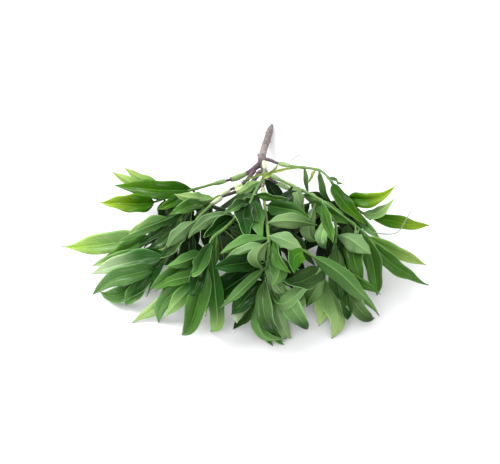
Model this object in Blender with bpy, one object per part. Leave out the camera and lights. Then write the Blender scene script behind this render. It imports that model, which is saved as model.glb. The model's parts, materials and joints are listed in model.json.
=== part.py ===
"""A bushy cut bay branch that lies down: one woody stem with dark twigs, and nine leafy sprays.

Lengths are millimetres until a mesh is made. Places that the photograph shows are given as it
shows them: how far right and how far down in its frame, where one step is one millimetre at the
branch's middle, and the height above the surface. sight() turns those into a point. The leaves
that the photograph shows are listed by hand; the others are placed by rule along the stems.
Every leaf is bent clear of what is already there.
"""
import math
import random
from collections import namedtuple

import bmesh
import bpy
from mathutils import Vector
from mathutils.bvhtree import BVHTree

MM = 0.001

# The photograph's view: its tilt, its distance and the place in its frame that it looks at.
VIEW_TILT = math.radians(42.0)
VIEW_DISTANCE = 1041.7
FRAME_MIDDLE = (250.0, 232.0)
AIM = Vector((4.0, -15.0, 0.0))
VIEW_AXIS = Vector((0.0, math.cos(VIEW_TILT), -math.sin(VIEW_TILT)))
VIEW_UP = Vector((0.0, math.sin(VIEW_TILT), math.cos(VIEW_TILT)))
EYE = AIM - VIEW_DISTANCE * VIEW_AXIS
# The middle of the finished branch, which becomes the origin.
ORIGIN = Vector((-1.8, -2.7, 0.0))

# A leaf: its blade, its stalk, and how far its halves fold up from the midrib.
LEAF_LENGTH = 76.0
BLADE_EDGE = 0.6
BLADE_MIDRIB = 1.0
STALK_HALF_WIDTH = 0.8
STALK_PART = 0.07
FOLD = math.radians(16.0)
SHOULDER = 0.7
TAPER = 1.1
RINGS = (0.0, 0.1, 0.25, 0.48, 0.76, 1.0)
FRAME_STEPS = 24
# A leaf that the photograph shows shorter than so many widths points at the eye.
LEAF_ASPECT = 3.7
MOST_REACH = 24.0

# A green stem and its collar, the swollen start that sits on a twig.
STEM_RADIUS = 1.45
STEM_END_RADIUS = 0.8
COLLAR_RADIUS = 2.5
SOCKET_RADIUS = 1.55
SOCKET_DEPTH = 4.5
STEM_SIDES = 5
LEAF_SPACING = 3.0
TENDRIL_RADIUS = 0.6

# The wood.
TWIG_END_RADIUS = 1.2
TWIG_PART_IN_SOCKET = 3.5
WOOD_SIDES = 8

# How leaves are bent clear: steps toward or away from the eye, and the room that is kept.
BEND_STEPS = (0, 3, -3, 6, -6, 9, -9, 13, -13, 17, -17, 22, 27)
ROOM = 0.7
STALK_FREE_PART = 0.16

# The leaves placed by rule: their draw, and the outline of the foliage in the photograph's frame.
FILL_SEED = 11
FILL_TRIES = 160
OUTLINE = ((240, 179), (262, 174), (290, 172), (318, 178), (340, 188), (362, 211), (372, 224),
           (382, 238), (402, 252), (420, 263), (404, 263), (422, 283), (404, 278), (384, 264),
           (383, 286), (377, 317), (350, 321), (338, 330), (320, 321), (308, 327), (297, 335),
           (283, 344), (258, 337), (232, 331), (212, 329), (203, 311), (185, 333), (165, 315),
           (136, 321), (152, 300), (128, 303), (102, 291), (101, 284), (112, 272), (95, 267),
           (105, 254), (80, 248), (100, 236), (128, 235), (150, 219), (172, 209), (130, 209),
           (106, 203), (130, 197), (121, 187), (155, 182), (190, 187), (206, 194), (226, 197))


# A placed leaf: its midrib's four points, its turn about the midrib and how that grows, its width,
# which way turn 0 faces, and how long its tip tapers.
Leaf = namedtuple("Leaf", "base first second tip turn twist width facing taper")


class Spray:
    """One green spray: the collar's two ends, the stem's course, side shoots and leaves."""

    def __init__(self, name, collar, stem, leaves, fill, shoots=(), tendril=None):
        self.name = name
        self.collar = collar
        self.stem = stem
        self.leaves = leaves
        self.fill = fill
        self.shoots = shoots
        self.tendril = tendril


# A leaf's row: tip right, down, height; base right, down; arch up; turn; width. Then, where the leaf
# has them: the place where its middle shows, right and down; how much its turn grows from base to
# tip; how much its outer half rises before it bends down to the tip; and its taper.
# A turn of 0 shows the upper side to the photograph, 180 the underside.
HIGH_LEFT = Spray(
    "spray_high_left",
    collar=((225, 181, 42), (213, 184, 45)),
    stem=((197, 188.5, 47), (180, 193, 46), (166, 198, 42), (152, 203, 37)),
    leaves=(
        (124, 168, 50, 168, 196, 2, 180, 11, 144, 180),
        (112, 172, 45, 160, 198, 2, 180, 11, 133, 184),
        (114, 185, 44, 197, 189, 4, 8, 19, 156, 190),
        (100, 202.5, 30, 162, 204, 3, 5, 18, 131, 204),
        (157, 209, 34, 190, 194, 1, 10, 11, 172, 203),
    ),
    fill=8,
)
MID_LEFT = Spray(
    "spray_mid_left",
    collar=((229, 190.5, 46), (219, 196, 50)),
    stem=((204, 203.5, 56), (188, 210, 56), (172, 218, 50), (158, 229, 40), (147, 240, 30)),
    leaves=(
        (174, 194, 58, 219, 201, 3, 178, 15, 198, 200),
        (169, 215, 50, 206, 205, 3, 15, 12, 188, 207),
        (128, 235, 38, 173, 219, 6, 15, 13, 149, 225.5),
        (116, 242.5, 42, 190, 217, 12, 215, 11, 154, 224.5),
        (61.5, 246.5, 0.1, 143, 242, 5, 8, 21, 102, 245, 0, 0, 1.5),
        (102, 260, 18, 156, 240, 4, 15, 14, 127, 249.5),
        (138, 244, 32, 180, 222, 4, 20, 12, 158, 233),
        (146, 248, 34, 186, 226, 4, 15, 13, 165, 240),
        (150, 258, 10, 188, 212, -8, 10, 16, 168, 236),
    ),
    fill=8,
)
LOW_LEFT = Spray(
    "spray_low_left",
    collar=((221, 198, 52), (212, 204, 56)),
    stem=((200, 216, 63), (188, 232, 61), (176, 246, 51), (165, 260, 36), (157, 273, 18)),
    leaves=(
        (167, 248, 60, 193, 218, 4, 176, 13, 179, 233.5),
        (92, 266, 12, 170, 251, 5, 10, 13, 126, 257.5),
        (91.5, 274, 8, 170, 257, 6, 5, 20, 129, 262.5),
        (92, 295, 0.1, 160, 270, 12, 5, 17, 124, 276),
        (100, 292, 0.6, 158, 276, -4, 10, 17, 127, 292),
        (126, 305, 0.1, 160, 274, -3, 5, 15, 136, 291),
        (147, 297, 5, 160, 270, 3, 60, 10),
        (160, 258, 40, 188, 236, 4, 20, 12, 173, 247),
    ),
    fill=8,
)
FRONT_LEFT = Spray(
    "spray_front_left",
    collar=((248, 195, 50), (240, 203, 56)),
    stem=((236, 217, 66), (224, 229, 71), (212, 239, 70), (208, 256, 62), (206, 275, 46),
          (204, 293, 24)),
    leaves=(
        (188, 239, 66, 234, 215, 5, 184, 11, 206, 221),
        (203, 238, 66, 236, 217, 3, 10, 11, 219, 226),
        (166, 267, 46, 210, 254, 3, 175, 13, 188, 260),
        (150, 290, 26, 207, 262, 5, 5, 16, 176, 273),
        (155, 291, 26, 206, 272, 9, 190, 11, 178, 279),
        (158.5, 324, 0.1, 204, 272, 1, 10, 17, 170, 296),
        (165, 317, 4, 203, 277, 12, 175, 16, 183, 296),
        (132, 323, 0.1, 204, 284, 3, 5, 15, 165, 302),
        (181, 335, 0.1, 204, 290, 3, 5, 19, 195, 313, 0, 0, 1.4),
        (206, 317, 22, 206, 284, 8, 190, 8),
        (210, 331, 0.1, 205, 292, -6, 175, 15, 217, 312),
        (187, 291, 36, 209, 264, 3, 15, 13, 197, 283),
        (190, 272, 38, 209, 256, 2, 20, 13, 200, 266),
        (209, 272, 44, 212, 240, 2, 150, 9, 216, 254),
    ),
    fill=8,
)
CENTRE = Spray(
    "spray_centre",
    collar=((263, 189, 45), (264, 199, 53)),
    stem=((266, 215, 67), (268, 232, 75), (269, 248, 73), (267, 264, 62), (265, 280, 44), (266, 296, 23)),
    shoots=(((268.5, 238, 75), (286, 244, 74), (303, 250, 67), (312, 256, 60)),),
    leaves=(
        (273, 346, 0.1, 266, 297, -8, 10, 11, 264, 328),
        (284, 344.5, 0.1, 267, 297, -8, 0, 11, 272, 330),
        (311, 219, 72, 266, 205, 4, 5, 15, 288, 209),
        (318, 225.5, 76, 267, 223, 5, 178, 14, 289, 220.5),
        (302, 248, 82, 268, 236, 5, 175, 14, 284, 239.5),
        (220, 254, 66, 269, 239, 3, 172, 13, 244, 243.5),
        (222, 262, 62, 269, 246, 3, 182, 12, 244, 251.5),
        (263.5, 269, 58, 268, 246, 2, 175, 15, 256.5, 256),
        (291, 273.5, 60, 271, 242, 3, 25, 11, 278, 258),
        (271.5, 286.5, 40, 269, 254, 2, 175, 17, 279, 269),
        (295, 273, 54, 305, 250, 2, 0, 17, 294.5, 258),
        (378.5, 315, 8, 305, 254, 10, 175, 15, 347, 283, 0, 10),
        (219, 308.5, 30, 267, 266, 8, 170, 9.5, 243, 288.5),
        (231, 315, 14, 266, 278, 5, 8, 18, 246, 298),
        (237, 323.5, 6, 266, 282, 0, 178, 17, 243, 301),
        (213, 268, 52, 268, 257, 3, 10, 16, 237, 264),
        (210, 305, 16, 267, 262, -1, 10, 23, 232, 285),
        (233, 330, 2, 266, 286, 2, 15, 17, 249, 310),
        (286, 338, 0.1, 266, 292, 3, 178, 12, 260, 329),
        (280, 334, 3, 266, 292, 4, 10, 16, 265, 316),
        (291, 341, 1.2, 266, 294, -2, 170, 16, 280, 320),
        (308, 330, 0.1, 267, 288, 4, 10, 17, 293, 309),
        (287.5, 294.5, 40, 268, 266, 3, 178, 10, 276, 283),
        (302, 300, 8, 267, 248, -12, 10, 18, 288, 272),
    ),
    fill=9,
)
TOP = Spray(
    "spray_top",
    collar=((264, 162, 35), (265, 169, 43)),
    stem=((262, 180, 55), (256, 190, 63), (251, 201, 68), (247, 213, 70)),
    leaves=(
        (249, 241, 72, 246, 200, 3, 5, 16, 244, 219),
        (262, 240, 76, 254, 199, 4, 10, 14, 258, 219),
        (233, 203, 60, 247, 190, 2, 30, 7),
        (236.5, 194, 62, 262, 181, 3, 178, 9, 248, 187.5),
        (290, 199, 66, 252, 196, 4, 30, 9, 271, 197.5),
        (224, 214, 68, 248, 204, 4, 20, 9),
        (278, 165, 60, 262, 180, 2, 20, 4, 269, 174),
    ),
    fill=6,
)
LOW_RIGHT = Spray(
    "spray_low_right",
    collar=((279, 184, 39), (289, 189, 43)),
    stem=((300, 194, 48), (313, 201, 53), (326, 210, 56), (335, 222, 56), (336, 238, 51),
          (332, 254, 40), (325, 272, 24), (323, 284, 12)),
    leaves=(
        (344, 214, 58, 302, 195, 4, 50, 11),
        (356, 224, 54, 309, 201, 4, 15, 12, 331, 213.5),
        (316.5, 242, 60, 316, 204, 3, 172, 13, 308.5, 229),
        (327, 249, 50, 330, 214, 3, 15, 13, 322, 236),
        (371.5, 254.5, 50, 336, 236, 6, 176, 17, 352.5, 240.5),
        (306, 307, 18, 325, 270, 3, 175, 15, 316, 288),
        (319, 326.5, 0.1, 325, 276, 4, 178, 18, 323.5, 300),
        (331.5, 338.5, 0.1, 327, 274, 4, 175, 19, 336.5, 311),
        (380.5, 295, 22, 330, 260, 7, 40, 10, 358, 281),
        (283, 280, 44, 327, 266, 5, 20, 20, 303, 281),
        (271, 290, 34, 323, 280, 3, 178, 12, 290, 300),
        (270.5, 315, 26, 325, 279, -2, 172, 15, 298, 303, 0, 0, 0.95),
        (347, 320.5, 1, 328, 266, 4, 15, 13, 346, 296),
        (375, 318, 1, 330, 264, 2, 12, 16, 355, 303),
        (341, 300, 6, 326, 262, -6, 10, 17, 338, 282),
    ),
    fill=8,
)
RIGHT = Spray(
    "spray_right",
    collar=((270, 175, 40), (280, 180, 46)),
    stem=((295, 187, 57), (312, 195, 64), (330, 206, 66), (347, 219, 60), (362, 231, 49), (374, 243, 37)),
    tendril=((361, 230, 50), (380, 233.5, 46), (392, 234, 44), (399, 231, 45), (403, 225, 47),
             (407, 218, 50), (411, 211, 53)),
    leaves=(
        (304, 214, 62, 292, 187, 3, 15, 11),
        (333, 243, 60, 322, 201, 3, 20, 10, 329, 225),
        (426, 265, 3, 364, 235, 6, 5, 13, 394, 251),
        (428, 285, 0.1, 370, 243, 6, 8, 14, 396, 266.5, 0, 0, 1.35),
        (377, 296, 1.5, 367, 240, 4, 8, 16, 374, 268),
        (364, 282, 16, 358, 229, 4, 12, 17, 354, 259),
        (353, 264, 30, 361, 232, 3, 175, 9, 357, 250),
    ),
    fill=8,
)
HIGH_RIGHT = Spray(
    "spray_high_right",
    collar=((279.5, 163.5, 35), (290, 166, 39)),
    stem=((303, 167.5, 45), (312, 168.5, 49), (320, 170.5, 52), (326, 175, 52), (331, 181, 51),
          (339, 190, 49), (349, 200, 46), (360, 211, 43), (371, 220, 40)),
    tendril=((288, 165.5, 38), (292, 159.8, 40), (297, 156.5, 41), (301, 153.5, 42)),
    leaves=(
        (240, 181, 58, 302, 168, 3, 40, 4, 270, 173),
        (308, 195, 42, 304, 168, 1, 15, 5),
        (332, 204, 46, 319, 171, 2, 15, 7, 323, 189),
        (308, 183, 46, 317, 171, 1, 170, 3.5),
        (344, 185, 54, 328, 178, 1, 30, 3.5),
        (367.5, 225, 44, 331, 181, 6, 0, 13, 345.5, 204),
        (396, 185.5, 56, 345, 196, 1, 8, 15, 369, 199.5, 0, 0, 1.3),
        (395, 197.5, 52, 361, 213, -3, 165, 11, 379, 212, 0, 0, 1.25),
        (429, 225.5, 24, 369, 220, 3, 5, 13, 400, 222.5),
        (379.5, 238, 40, 349, 201, 3, 15, 9, 366, 226),
    ),
    fill=7,
)
SPRAYS = (HIGH_LEFT, MID_LEFT, LOW_LEFT, FRONT_LEFT, TOP, CENTRE, LOW_RIGHT, RIGHT, HIGH_RIGHT)

# The wood's course, as (right, down, height, radius), and the twig to each spray.
MAIN_STEM = ((272.0, 124.0, 0.8, 1.0), (270.1, 130.0, 3.1, 3.6), (267.3, 139.0, 7.5, 3.9),
             (264.0, 149.0, 14.0, 3.9), (261.8, 158.0, 22.0, 4.2), (261.0, 165.0, 28.0, 3.9))
TWIGS = {
    "spray_high_left": ((261, 163, 28, 3.4), (251, 171, 33, 2.8), (239, 177, 38, 1.6)),
    "spray_mid_left": ((254, 171, 32, 2.4), (246, 181, 37, 2.0), (238, 186.5, 42, 1.5)),
    "spray_low_left": ((260, 172, 30, 2.6), (250, 184, 38, 2.1), (235, 192, 46, 1.7)),
    "spray_front_left": ((264, 181, 34, 2.2), (257, 189, 43, 1.7)),
    "spray_centre": ((262, 163, 27, 3.7), (264.5, 173, 31, 3.3), (264, 181, 36, 2.4)),
    "spray_top": ((262, 160, 26, 2.4),),
    "spray_low_right": ((265, 174, 30, 2.4), (271, 180, 35, 1.6)),
    "spray_right": ((264, 169, 30, 2.2),),
    "spray_high_right": ((262.5, 158, 24, 2.0), (271, 160.5, 31, 1.4)),
}


def sight(right, down, height):
    """The point at this height that the photograph shows there, in millimetres."""
    side = (right - FRAME_MIDDLE[0]) / VIEW_DISTANCE
    rise = (FRAME_MIDDLE[1] - down) / VIEW_DISTANCE
    ray = VIEW_AXIS + Vector((side, 0.0, 0.0)) + VIEW_UP * rise
    return EYE + ray * ((height - EYE.z) / ray.z)


def smooth_course(points, parts):
    """Points on a smooth curve through the given ones, so many parts to each gap."""
    ends = [points[0] * 2 - points[1], *points, points[-1] * 2 - points[-2]]
    course = []
    for k in range(1, len(ends) - 2):
        a, b, c, d = ends[k - 1:k + 3]
        for step in range(parts):
            t = step / parts
            course.append(0.5 * (2 * b + (c - a) * t + (2 * a - 5 * b + 4 * c - d) * t * t
                                 + (3 * b - a - 3 * c + d) * t * t * t))
    course.append(points[-1].copy())
    return course


def tangents(course):
    """The direction of travel at each point."""
    last = len(course) - 1
    return [(course[min(k + 1, last)] - course[max(k - 1, 0)]).normalized() for k in range(last + 1)]


def ring_on(centre, along, radius, sides, up=Vector((0, 0, 1))):
    """A ring of points round a centre, with a flat side downward where the tube lies level."""
    across = along.cross(up)
    if across.length < 0.05:
        across = along.cross(Vector((0, 1, 0)))
    across.normalize()
    rise = across.cross(along)
    turn = math.pi / sides
    return [centre + radius * (math.sin(2 * math.pi * k / sides + turn) * across
                               - math.cos(2 * math.pi * k / sides + turn) * rise)
            for k in range(sides)]


def lofted(rings):
    """A closed shell through rings of equal count: its vertices and faces."""
    count = len(rings[0])
    points = [point for ring in rings for point in ring]
    faces = []
    for r in range(len(rings) - 1):
        for k in range(count):
            a, b = r * count + k, r * count + (k + 1) % count
            faces += [(a, b, b + count), (a, b + count, a + count)]
    last = (len(rings) - 1) * count
    for k in range(1, count - 1):
        faces.append((0, k + 1, k))
        faces.append((last, last + k, last + k + 1))
    return points, faces


def tube(course, radii, sides):
    """A closed round tube along a course."""
    along = tangents(course)
    return lofted([ring_on(p, t, r, sides) for p, t, r in zip(course, along, radii)])


def collar_points(spray):
    """The collar's two ends and its axis."""
    start = sight(*spray.collar[0])
    end = sight(*spray.collar[1])
    return start, end, (end - start).normalized()


def stem_course(spray):
    """The green stem's axis from the collar's end to its last leaf."""
    return smooth_course([sight(*place) for place in (spray.collar[1], *spray.stem)], 2)


def stem_shell(spray):
    """The collar with its blind socket and the green stem in one closed shell."""
    start, end, axis = collar_points(spray)
    length = (end - start).length
    course = stem_course(spray)
    inner = [(SOCKET_DEPTH, SOCKET_RADIUS), (0.0, SOCKET_RADIUS)]
    outer = [(0.0, COLLAR_RADIUS * 0.86), (length * 0.35, COLLAR_RADIUS),
             (length * 0.75, COLLAR_RADIUS * 0.85)]
    rings = [ring_on(start + axis * d, axis, r, STEM_SIDES) for d, r in inner + outer]
    along = tangents(course)
    last = len(course) - 1
    for k, (point, direction) in enumerate(zip(course, along)):
        radius = STEM_RADIUS + (STEM_END_RADIUS - STEM_RADIUS) * k / last
        rings.append(ring_on(point, direction, radius, STEM_SIDES))
    return lofted(rings)


def thin_shell(places, start_radius, end_radius):
    """A side shoot or a tendril."""
    course = smooth_course([sight(*place) for place in places], 2)
    last = len(course) - 1
    radii = [start_radius + (end_radius - start_radius) * k / last for k in range(last + 1)]
    return tube(course, radii, STEM_SIDES - 1)


def seen_at(point):
    """Where the photograph shows a point, right and down in its frame."""
    ray = point - EYE
    depth = ray.dot(VIEW_AXIS)
    return (FRAME_MIDDLE[0] + VIEW_DISTANCE * ray.x / depth,
            FRAME_MIDDLE[1] - VIEW_DISTANCE * ray.dot(VIEW_UP) / depth)


def finer(course):
    """A course with three more points in each gap."""
    return [a.lerp(b, k / 4) for a, b in zip(course, course[1:]) for k in range(4)] + [course[-1]]


def nearest_on(course, right, down, taken):
    """The free point of a course that the photograph shows nearest to a place in its frame."""
    free = [p for p in course[2:-3] if all((p - other).length > LEAF_SPACING for other in taken)]

    def gap(point):
        seen = seen_at(point)
        return (seen[0] - right) ** 2 + (seen[1] - down) ** 2
    nearest = min(free, key=gap)
    taken.append(nearest)
    return nearest


def inside_outline(right, down):
    """Whether a place in the photograph's frame lies within the foliage's outline."""
    inside = False
    for (ax, ay), (bx, by) in zip(OUTLINE, OUTLINE[1:] + OUTLINE[:1]):
        if (ay > down) != (by > down) and right < ax + (down - ay) * (bx - ax) / (by - ay):
            inside = not inside
    return inside


def half_width(t, leaf):
    """Half the blade's width at a part t of the leaf's length."""
    s = max(0.0, (t - STALK_PART) / (1 - STALK_PART))
    widest = SHOULDER / (SHOULDER + leaf.taper)
    most = widest ** SHOULDER * (1 - widest) ** leaf.taper
    blade = 0.5 * leaf.width * s ** SHOULDER * (1 - s) ** leaf.taper / most
    return max(blade, STALK_HALF_WIDTH * (1 - t))


def point_at(leaf, t):
    """The midrib's place at a part t of the leaf's length."""
    r = 1 - t
    return (leaf.base * r ** 3 + leaf.first * (3 * r * r * t)
            + leaf.second * (3 * r * t * t) + leaf.tip * t ** 3)


def direction_at(leaf, t):
    """The midrib's direction there."""
    r = 1 - t
    return ((leaf.first - leaf.base) * (r * r) + (leaf.second - leaf.first) * (2 * r * t)
            + (leaf.tip - leaf.second) * (t * t)).normalized()


def square_to(out, along):
    """The direction nearest to out that stands square to the midrib."""
    squared = out - along * out.dot(along)
    if squared.length < 0.05:
        squared = VIEW_UP - along * VIEW_UP.dot(along)
    return squared.normalized()


def carried_out(leaf):
    """The facing direction carried along the midrib from its middle, without turning about it."""
    middle = FRAME_STEPS // 2
    out = {middle: square_to(leaf.facing, direction_at(leaf, 0.5))}
    for step in range(middle + 1, FRAME_STEPS + 1):
        out[step] = square_to(out[step - 1], direction_at(leaf, step / FRAME_STEPS))
    for step in range(middle - 1, -1, -1):
        out[step] = square_to(out[step + 1], direction_at(leaf, step / FRAME_STEPS))
    return out


def leaf_frames(leaf, parts):
    """Centre, direction, across and outward at each part of the leaf's length."""
    carried = carried_out(leaf)
    frames = []
    for t in parts:
        along = direction_at(leaf, t)
        out = square_to(carried[round(t * FRAME_STEPS)], along)
        angle = math.radians(leaf.turn + leaf.twist * t)
        outward = out * math.cos(angle) + along.cross(out) * math.sin(angle)
        frames.append((point_at(leaf, t), along, along.cross(outward), outward))
    return frames


def blade_ring(frame, half, thick, extra):
    """Six points round the blade: left edge, midrib and right edge above, and back below."""
    centre, _, across, outward = frame
    lift = math.tan(FOLD) * half
    edge = BLADE_EDGE / 2 + extra
    rib = thick / 2 + extra
    return [centre - across * half + outward * (lift + edge), centre + outward * rib,
            centre + across * half + outward * (lift + edge),
            centre + across * half + outward * (lift - edge),
            centre - outward * rib, centre - across * half + outward * (lift - edge)]


def blade_shell(leaf, extra=0.0):
    """A leaf as a closed shell that ends in a point, its two faces split alike."""
    frames = leaf_frames(leaf, RINGS)
    upright = frames[-2][3].z > 0
    centre, _, across, outward = frames[0]
    half, rib = STALK_HALF_WIDTH + extra, STALK_HALF_WIDTH * 0.8 + extra
    points = [centre - across * half, centre + outward * rib,
              centre + across * half, centre - outward * rib]
    for t, frame in zip(RINGS[1:-1], frames[1:-1]):
        thick = BLADE_MIDRIB + (BLADE_EDGE - BLADE_MIDRIB) * t
        ring = blade_ring(frame, half_width(t, leaf), thick, extra)
        points += rest_on_surface(ring[:3], ring[3:], upright, extra)
    centre, _, _, outward = frames[-1]
    tip = [centre + outward * (BLADE_EDGE / 2 + extra)], [centre - outward * (BLADE_EDGE / 2 + extra)]
    points += rest_on_surface(*tip, upright, extra)
    faces = [(0, 2, 1), (0, 3, 2), (0, 4, 9), (2, 7, 6)]
    for a, b, c, d in ((0, 1, 5, 4), (1, 2, 6, 5), (2, 3, 8, 7), (3, 0, 9, 8)):
        faces += [(a, b, c), (a, c, d)]
    for r in range(len(RINGS) - 3):
        a, b = 4 + r * 6, 10 + r * 6
        for k in (0, 1):
            faces += [(a + k, a + k + 1, b + k + 1), (a + k, b + k + 1, b + k)]
            m, n = a + 5 - k, b + 5 - k
            faces += [(m, n - 1, m - 1), (m, n, n - 1)]
        faces += [(a + 2, a + 3, b + 3), (a + 2, b + 3, b + 2)]
        faces += [(a + 5, a, b), (a + 5, b, b + 5)]
    z = len(points) - 8
    over, below = z + 6, z + 7
    faces += [(z, z + 1, over), (z + 1, z + 2, over), (z + 2, z + 3, below), (z + 2, below, over)]
    faces += [(z + 3, z + 4, below), (z + 4, z + 5, below), (z + 5, z, over), (z + 5, over, below)]
    return points, faces


def rest_on_surface(above, under, upright, extra):
    """The points of a ring with none below the surface, where a leaf that reaches it lies flat."""
    low, high = (under, above) if upright else (above, under)
    for point in low:
        point.z = max(point.z, -extra)
    for point in high:
        point.z = max(point.z, BLADE_EDGE + extra)
    return above + under


def leaf_through(base, middle, tip, turn, twist, width, facing, hook=0.0, taper=TAPER):
    """A leaf whose midrib runs through three points, with its outer half raised by the hook."""
    control = middle * 2 - (base + tip) / 2
    first = base.lerp(control, 2 / 3)
    second = tip.lerp(control, 2 / 3) + Vector((0, 0, hook))
    return Leaf(base, first, second, tip, turn, twist, width, facing, taper)


def nearer(point, step):
    """The point moved toward the eye, where the photograph shows it at the same place."""
    return point + (EYE - point).normalized() * step


def photo_leaf(row, course, taken):
    """The leaf that one row of a spray's list describes."""
    right, down, height, base_right, base_down, arch, turn, width, *more = row
    base = nearest_on(course, base_right, base_down, taken)
    tip = sight(right, down, height)
    reach = 0.0
    while height > 5 and reach < MOST_REACH and (tip - base).length < LEAF_ASPECT * width:
        reach += 2.0
        tip = nearer(tip, 2.0)
    middle = (base + tip) / 2 + Vector((0, 0, arch))
    if len(more) > 1:
        middle = sight(more[0], more[1], middle.z)
    twist, hook, taper = (*more[2:], *(0.0, 0.0, TAPER)[max(0, len(more) - 2):])
    return leaf_through(base, middle, tip, turn, twist, width, -VIEW_AXIS, hook, taper)


def fill_leaf(draw, base, along, k):
    """A leaf drawn by rule: alternate sides, spread along the stem, mostly low."""
    side = along.cross(Vector((0, 0, 1))).normalized() * (1 if k % 2 else -1)
    direction = side * draw.uniform(-0.3, 1.2) + along * draw.uniform(-0.3, 1.0)
    direction.z = draw.uniform(-1.0, 0.0)
    direction.normalize()
    tip = base + direction * LEAF_LENGTH * draw.uniform(0.75, 0.98)
    tip.z = max(tip.z, draw.uniform(1.0, 9.0))
    middle = (base + tip) / 2 + Vector((0, 0, draw.uniform(2, 9)))
    turn = draw.choice((0, 0, 180)) + draw.uniform(-25, 25)
    return leaf_through(base, middle, tip, turn, draw.uniform(-25, 25), draw.uniform(15, 19),
                        Vector((0, 0, 1)))


def hides(leaf, shown):
    """Whether the leaf would stand before one that the photograph shows."""
    for centre, _, across, _ in leaf_frames(leaf, (0.25, 0.4, 0.55, 0.7, 0.85, 1.0)):
        for point in (centre, centre + across * 4, centre - across * 4):
            if any(tree.ray_cast(point, VIEW_AXIS)[0] for tree in shown):
                return True
    return False


def fill_base(course, k, count, taken):
    """A free place for one of count leaves spread along the stem, and the stem's direction there."""
    last = len(course) - 1
    index = min(last - 1, max(1, round(((k + 0.5) / count * 0.88 + 0.08) * last)))
    base = nearest_on(course, *seen_at(course[index]), taken)
    return base, (course[index + 1] - course[index - 1]).normalized()


def fill_in(draw, name, course, k, count, taken, placed, shown):
    """The first draw that is clear of everything, within the outline and hides no listed leaf."""
    base, along = fill_base(course, k, count, taken)
    for _ in range(FILL_TRIES):
        leaf = fill_leaf(draw, base, along, k)
        if not all(inside_outline(*seen_at(p)) for p in blade_shell(leaf)[0]):
            continue
        if not owner_clear(leaf, name, placed) or not stands_clear(leaf, name, placed):
            continue
        if not hides(leaf, shown):
            return leaf
    taken.remove(base)
    return None


def tree_of(shell):
    """A search tree of a shell."""
    points, faces = shell
    return BVHTree.FromPolygons([p.to_tuple() for p in points], faces, all_triangles=True)


def past_stalk(shell):
    """A leaf's shell without the part next to the stem, for the crossing test."""
    points, faces = shell
    first = 4 + 6 * sum(1 for t in RINGS[1:] if t < STALK_FREE_PART)
    kept = [face for face in faces if min(face) >= first]
    return points, kept


def box_of(points):
    """The lowest and highest corners."""
    return [(min(p[i] for p in points), max(p[i] for p in points)) for i in range(3)]


def boxes_meet(a, b):
    """Whether two boxes overlap."""
    return all(a[i][0] <= b[i][1] and b[i][0] <= a[i][1] for i in range(3))


def bent(leaf, tip_step, middle_step):
    """The leaf with its tip and middle moved toward the eye or away from it."""
    tip = nearer(leaf.tip, tip_step)
    tip.z = max(tip.z, min(leaf.tip.z, 0.8))
    first = nearer(leaf.first, 4 / 3 * middle_step)
    second = nearer(leaf.second, 4 / 3 * middle_step + (tip_step - middle_step) / 3)
    first.z, second.z = max(first.z, 2.0), max(second.z, 2.0)
    return leaf._replace(first=first, second=second, tip=tip)


BENDS = sorted(((a, b) for a in BEND_STEPS for b in BEND_STEPS),
               key=lambda step: abs(step[0]) + 1.2 * abs(step[1]) - 0.1 * step[0])


def cleared_leaf(leaf, name, placed):
    """The least bent form of the leaf that crosses nothing, or else nothing of another spray."""
    spare = None
    for tip_step, middle_step in BENDS:
        tried = bent(leaf, tip_step, middle_step)
        shell = past_stalk(blade_shell(tried, ROOM))
        box = box_of(shell[0])
        tree = tree_of(shell)
        own, other = 0, 0
        for owner, kind, other_box, other_tree in placed:
            if owner == name and kind == "stem":
                continue
            if boxes_meet(box, other_box) and tree.overlap(other_tree):
                if owner == name:
                    own += 1
                else:
                    other += 1
                    break
        if other == 0 and own == 0 and owner_clear(tried, name, placed):
            return tried, True
        if other == 0 and spare is None and owner_clear(tried, name, placed):
            spare = tried
    return spare, False


def stands_clear(leaf, name, placed):
    """Whether the leaf past its stalk is clear of everything but its own stem."""
    shell = past_stalk(blade_shell(leaf, ROOM))
    box = box_of(shell[0])
    tree = tree_of(shell)
    return not any(boxes_meet(box, other_box) and tree.overlap(other_tree)
                   for owner, kind, other_box, other_tree in placed
                   if owner != name or kind != "stem")


def owner_clear(leaf, name, placed):
    """Whether the whole leaf, stalk included, is clear of other sprays."""
    shell = blade_shell(leaf, ROOM / 2)
    box = box_of(shell[0])
    tree = tree_of(shell)
    return not any(owner != name and boxes_meet(box, other_box) and tree.overlap(other_tree)
                   for owner, _, other_box, other_tree in placed)


def remember(placed, name, kind, shell):
    """Add a shell to what later leaves keep clear of."""
    placed.append((name, kind, box_of(shell[0]), tree_of(shell)))


def wood_shells():
    """The main stem and the twigs, each a closed shell."""
    main = [sight(*place[:3]) for place in MAIN_STEM]
    course = smooth_course(main, 2)
    radii = [MAIN_STEM[k // 2][3] if k % 2 == 0
             else (MAIN_STEM[k // 2][3] + MAIN_STEM[k // 2 + 1][3]) / 2 for k in range(len(course))]
    shells = [resting_stem(tube(course, radii, WOOD_SIDES))]
    for spray in SPRAYS:
        start, _, axis = collar_points(spray)
        places = TWIGS[spray.name]
        points = [sight(*place[:3]) for place in places] + [start - axis * 5]
        course = smooth_course(points, 2) + [start, start + axis * TWIG_PART_IN_SOCKET]
        first = places[0][3]
        last = len(course) - 1
        radii = [first + (TWIG_END_RADIUS - first) * min(1.0, k / (last - 2)) for k in range(last + 1)]
        shells.append(tube(course, radii, WOOD_SIDES - 2))
    return shells


def resting_stem(shell):
    """The stem's shell, flattened where its cut end lies on the surface."""
    points, faces = shell
    for point in points:
        point.z = max(point.z, 0.0)
    return points, faces


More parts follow.
